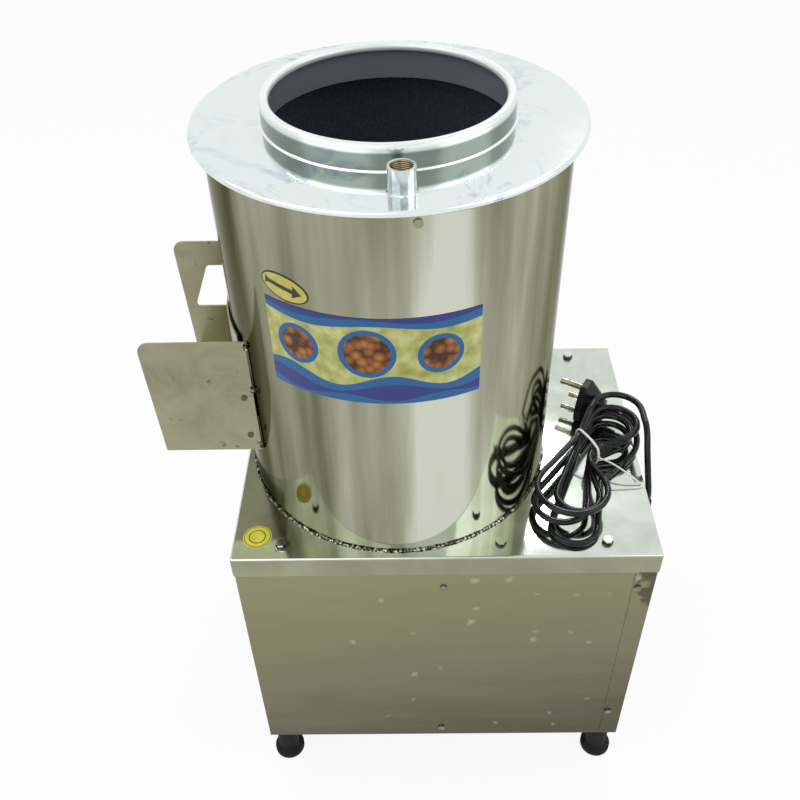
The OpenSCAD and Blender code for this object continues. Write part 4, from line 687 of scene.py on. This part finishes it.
mottle = add(tree, "ShaderNodeTexNoise", {"Vector": at, "Scale": 7.0, "Detail": 4.0})
ink = ramp(tree, mottle.outputs["Fac"], [(0.3, "#969a4c"), (0.5, "#b4b56c"), (0.72, "#d0cf96")])
for base, size, length, shift, colour in (
    (0.26, 0.07, 1.05, 0.4, "#2a6499"), (0.17, 0.06, 1.2, 1.2, "#38407f"), (0.06, 0.03, 0.9, 2.2, "#2a6499"),
):
    below = add(tree, "ShaderNodeMath", {0: spot.outputs["Y"], 1: wave(tree, base, size, length, shift)},
                operation="LESS_THAN")
    ink = over(tree, below.outputs[0], ink, colour)
for base, size, length, shift, colour in (
    (0.86, 0.03, 1.3, 2.5, "#2a6499"), (0.93, 0.025, 1.3, 3.1, "#38407f"),
):
    above = add(tree, "ShaderNodeMath", {0: spot.outputs["Y"], 1: wave(tree, base, size, length, shift)},
                operation="GREATER_THAN")
    ink = over(tree, above.outputs[0], ink, colour)
lumps = add(tree, "ShaderNodeTexVoronoi", {"Vector": at, "Scale": 11.0, "Randomness": 0.8})
skin_ink = ramp(tree, lumps.outputs["Distance"], [(0.0, "#c08443"), (0.45, "#935a2b"), (0.75, "#4a2c18")])
for x, y, r in ((0.34, 0.56, 0.17), (1.02, 0.58, 0.22), (1.7, 0.55, 0.17)):
    gap = add(tree, "ShaderNodeVectorMath", {0: at, 1: (x, y, 0)}, operation="DISTANCE").outputs["Value"]
    rim = add(tree, "ShaderNodeMath", {0: gap, 1: r + 0.05}, operation="LESS_THAN")
    ink = over(tree, rim.outputs[0], ink, "#2a6499")
    core = add(tree, "ShaderNodeMath", {0: gap, 1: r}, operation="LESS_THAN")
    ink = over(tree, core.outputs[0], ink, skin_ink)
tree.links.new(ink, shader.inputs["Base Color"])
label.data.materials.append(vinyl)
finish_piece(label, "drum_label", "black_plastic")

# Arrow sign: an oval sticker above the label that shows which way the disc turns.
# It is yellow vinyl with a black border and a black arrow, and follows the drum's curve.
SIGN_AT = -32.2
SIGN_Z = 329.0
SIGN_TURN = -9.0


def wrap_on_drum(obj, degrees, z, turn, lift):
    """Lays a flat piece, drawn in mm, on the drum, turned about its middle and lifted off the sheet."""
    spin = Matrix.Rotation(math.radians(turn), 2)
    for v in obj.data.vertices:
        across, up = spin @ v.co.xy
        angle = math.radians(degrees) + across / DRUM_R
        r = DRUM_R + lift
        v.co = place(r * math.sin(angle), -r * math.cos(angle), z + up)


def flat_round(wide, high):
    """A flat oval of rings, in mm."""
    bpy.ops.object.select_all(action="DESELECT")
    bpy.ops.mesh.primitive_circle_add(vertices=96, radius=1, fill_type="NGON")
    oval = bpy.context.object
    bpy.ops.object.mode_set(mode="EDIT")
    bpy.ops.mesh.select_all(action="SELECT")
    for step in range(4):
        bpy.ops.mesh.inset(thickness=0.22)
    bpy.ops.mesh.poke()
    bpy.ops.object.mode_set(mode="OBJECT")
    oval.scale = (wide / 2, high / 2, 1)
    bpy.ops.object.transform_apply(scale=True)
    return oval


black_ink = clouded("black printed vinyl", 240.0, 3.0, [(0.3, "#191812"), (0.7, "#2b2a20")], Roughness=0.3)[0]
yellow_ink = clouded("yellow printed vinyl", 110.0, 4.0, [(0.3, "#b5ad49"), (0.7, "#c9c25c")],
                     Roughness=0.3)[0]

sign_edge = flat_round(52, 27)
wrap_on_drum(sign_edge, SIGN_AT, SIGN_Z, SIGN_TURN, 0.3)
sign_edge.data.materials.append(black_ink)
finish_piece(sign_edge, "arrow_sign_border", "black_plastic")
sign = flat_round(49, 24)
wrap_on_drum(sign, SIGN_AT, SIGN_Z, SIGN_TURN, 0.4)
sign.data.materials.append(yellow_ink)
finish_piece(sign, "arrow_sign", "black_plastic")

bpy.ops.object.select_all(action="DESELECT")
bpy.ops.mesh.primitive_grid_add(x_subdivisions=12, y_subdivisions=2, size=1)
arrow = bpy.context.object
arrow.scale = (27, 4.2, 1)
arrow.location = (-4, 0, 0)
bpy.ops.object.transform_apply(location=True, scale=True)
bpy.ops.object.mode_set(mode="EDIT")
pick_edges(lambda a, b: a.x > 9.4 and b.x > 9.4)
bpy.ops.mesh.extrude_region_move(TRANSFORM_OT_translate={"value": (0.01, 0, 0)})
bpy.ops.transform.resize(value=(1, 3.2, 1))
bpy.ops.mesh.extrude_region_move(TRANSFORM_OT_translate={"value": (9.5, 0, 0)})
bpy.ops.mesh.merge(type="CENTER")
pick_edges(lambda a, b: a.x < -17.4 and b.x < -17.4)
bpy.ops.mesh.extrude_region_move(TRANSFORM_OT_translate={"value": (-3.5, 0, 0)})
bpy.ops.transform.resize(value=(1, 2.2, 1))
bpy.ops.object.mode_set(mode="OBJECT")
wrap_on_drum(arrow, SIGN_AT, SIGN_Z, SIGN_TURN, 0.5)
arrow.data.materials.append(black_ink)
finish_piece(arrow, "arrow_sign_arrow", "black_plastic")

# Round sticker: a yellow vinyl disc with two thin black rings, stuck on the cover's left front corner.
# Its yellow is cleaner than the sign's.
STICKER_X = -157
STICKER_Y = -153
fresh_ink = clouded("fresh yellow vinyl", 110.0, 4.0, [(0.3, "#ddd245"), (0.7, "#efe65f")],
                    Roughness=0.3, Specular_IOR_Level=0.3)[0]
for name, wide, lift, finish in (
    ("round_sticker", 32, 0.1, fresh_ink), ("round_sticker_border", 29.6, 0.2, black_ink),
    ("round_sticker_field", 28.2, 0.3, fresh_ink), ("round_sticker_ring", 19, 0.4, black_ink),
    ("round_sticker_middle", 17, 0.5, fresh_ink),
):
    disc = flat_round(wide, wide)
    for v in disc.data.vertices:
        v.co = place(v.co.x + STICKER_X, v.co.y + STICKER_Y, lift)
    disc.data.materials.append(finish)
    finish_piece(disc, name, "black_plastic")

# Pulleys and bearing housing: grey iron castings, machined where they run and where they are bolted.
# They are dull and dark, with a slight grain.
iron = clouded("machined grey cast iron", 120.0, 4.0, [(0.3, "#38393b"), (0.7, "#55565a")],
               Metallic=0.7, Roughness=0.5)[0]
dress(iron, "bearing_housing", "driven_pulley", "motor_pulley")

# Motor: a finned housing under the motor plate, sprayed in grey-blue machine enamel.
# The enamel has a half gloss and is a little uneven.
enamel = clouded("grey-blue machine enamel", 30.0, 5.0, [(0.3, "#4c5a66"), (0.7, "#5f6e7a")],
                 Roughness=0.38)[0]
dress(enamel, "motor_body")

# Plastic: the fan, its cover, the terminal box and the plug are moulded in black plastic, the gland in PVC.
# The plastic is nearly black, with a fine grain and a soft sheen.
moulded, tree, shader, grain = clouded("black moulded plastic", 420.0, 3.0,
                                       [(0.3, "#0c0d0e"), (0.7, "#161819")],
                                       Roughness=0.34, Specular_IOR_Level=0.25)
bump = add(tree, "ShaderNodeBump", {"Height": grain, "Strength": 0.15, "Distance": 0.0002})
tree.links.new(bump.outputs["Normal"], shader.inputs["Normal"])
dress(moulded, "motor_fan", "fan_cover", "terminal_box", "plug_body")
dress(pvc, "cord_gland")

# Inner lead: the same PVC lead behind the gland, ending in the motor's terminal box.
# It hangs free in front of the motor plate.
inner_points = [
    (284, -70, -72), (276.6, -70.5, -72.7), (269.1, -72, -74.7), (257.3, -77.3, -82), (249.5, -84.7, -92.8),
    (245.1, -92.2, -105.1), (242.6, -98.8, -118.6), (241.3, -103.9, -133.1), (240.6, -106.4, -148.1),
    (240.1, -106.1, -163), (239.3, -103.5, -178.1), (237.7, -99.4, -192.7), (233.9, -95, -206.5),
    (226.5, -91.2, -219), (214.5, -89.1, -227.9), (199.9, -88.5, -231),
]
inner = cord_curve("inner_lead_sheath", inner_points, CORD_D)
inner.data.materials.append(pvc)
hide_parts("inner_lead")
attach(inner, "machine")

# Plug pins: three turned brass pins with a thin nickel wash, set in the plug's body.
# They are grey and shiny, worn yellow in places.
nickel = clouded("nickel-washed brass", 150.0, 4.0, [(0.35, "#8f8a78"), (0.6, "#c2beb0"), (0.8, "#b9a878")],
                 Metallic=1.0, Roughness=0.24)[0]
dress(nickel, "plug_pins")

# Twine: a white twisted string wound twice round the hank's waist, with one end trailing on the cover.
# It is matt and fibrous.
TWINE_D = 2.0
twine, tree, shader, fibres = clouded("white twisted twine", 900.0, 3.0,
                                      [(0.25, "#d9d7cc"), (0.5, "#f6f5ef"), (0.8, "#ffffff")], Roughness=0.85)
bump = add(tree, "ShaderNodeBump", {"Height": fibres, "Strength": 0.6, "Distance": 0.0004})
tree.links.new(bump.outputs["Normal"], shader.inputs["Normal"])

across = (Vector(waist_right) - Vector(waist_left)).normalized()
side = Vector((-across.y, across.x))
span = (Vector(waist_right) - Vector(waist_left)).length - WAIST_R
ROOM = CORD_D / 2 + 0.6 + TWINE_D / 2 - 0.2
z0 = ROW_LOW - ROOM + 0.4
z1 = ROW_LOW + 3 * ROW_STEP + ROOM
corners = [(-ROOM, z0 + 4), (-ROOM + 4, z0), (span + ROOM - 4, z0), (span + ROOM, z0 + 4),
           (span + ROOM, z1 - ROW_STEP - 4), (span + ROOM - 3, z1 - ROW_STEP), (2.5, z1), (-ROOM + 4, z1),
           (-ROOM, z1 - 4), (-ROOM, (z0 + z1) / 2)]
turns = []
for turn in range(2):
    for k, (t, z) in enumerate(corners):
        p = Vector(waist_left) + across * t + side * (-1.1 + 2.2 * (turn + k / len(corners)) / 2)
        turns.append((p.x, p.y, z))
loop = cord_curve("twine_loop", turns, TWINE_D)
loop.data.materials.append(twine)
bpy.ops.object.select_all(action="DESELECT")
loop.select_set(True)
bpy.context.view_layer.objects.active = loop
bpy.ops.object.convert(target="MESH")
loop = bpy.context.object
finish_piece(loop, "twine_loop", "twine", "cord_tie")
twine_points = [
    (235.4, -48.5, 16), (238.7, -52.3, 16), (247, -58, 16), (255, -64, 15), (264, -70, 12), (273, -75, 7.5),
    (280, -79, 3), (284, -82, 1.3), (281.5, -85, 1.3), (272, -86.5, 1.3), (258, -87.5, 1.3), (243, -88, 1.3),
]
twine_end = cord_curve("twine_end", twine_points, TWINE_D)
twine_end.data.materials.append(twine)
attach(twine_end, "machine")
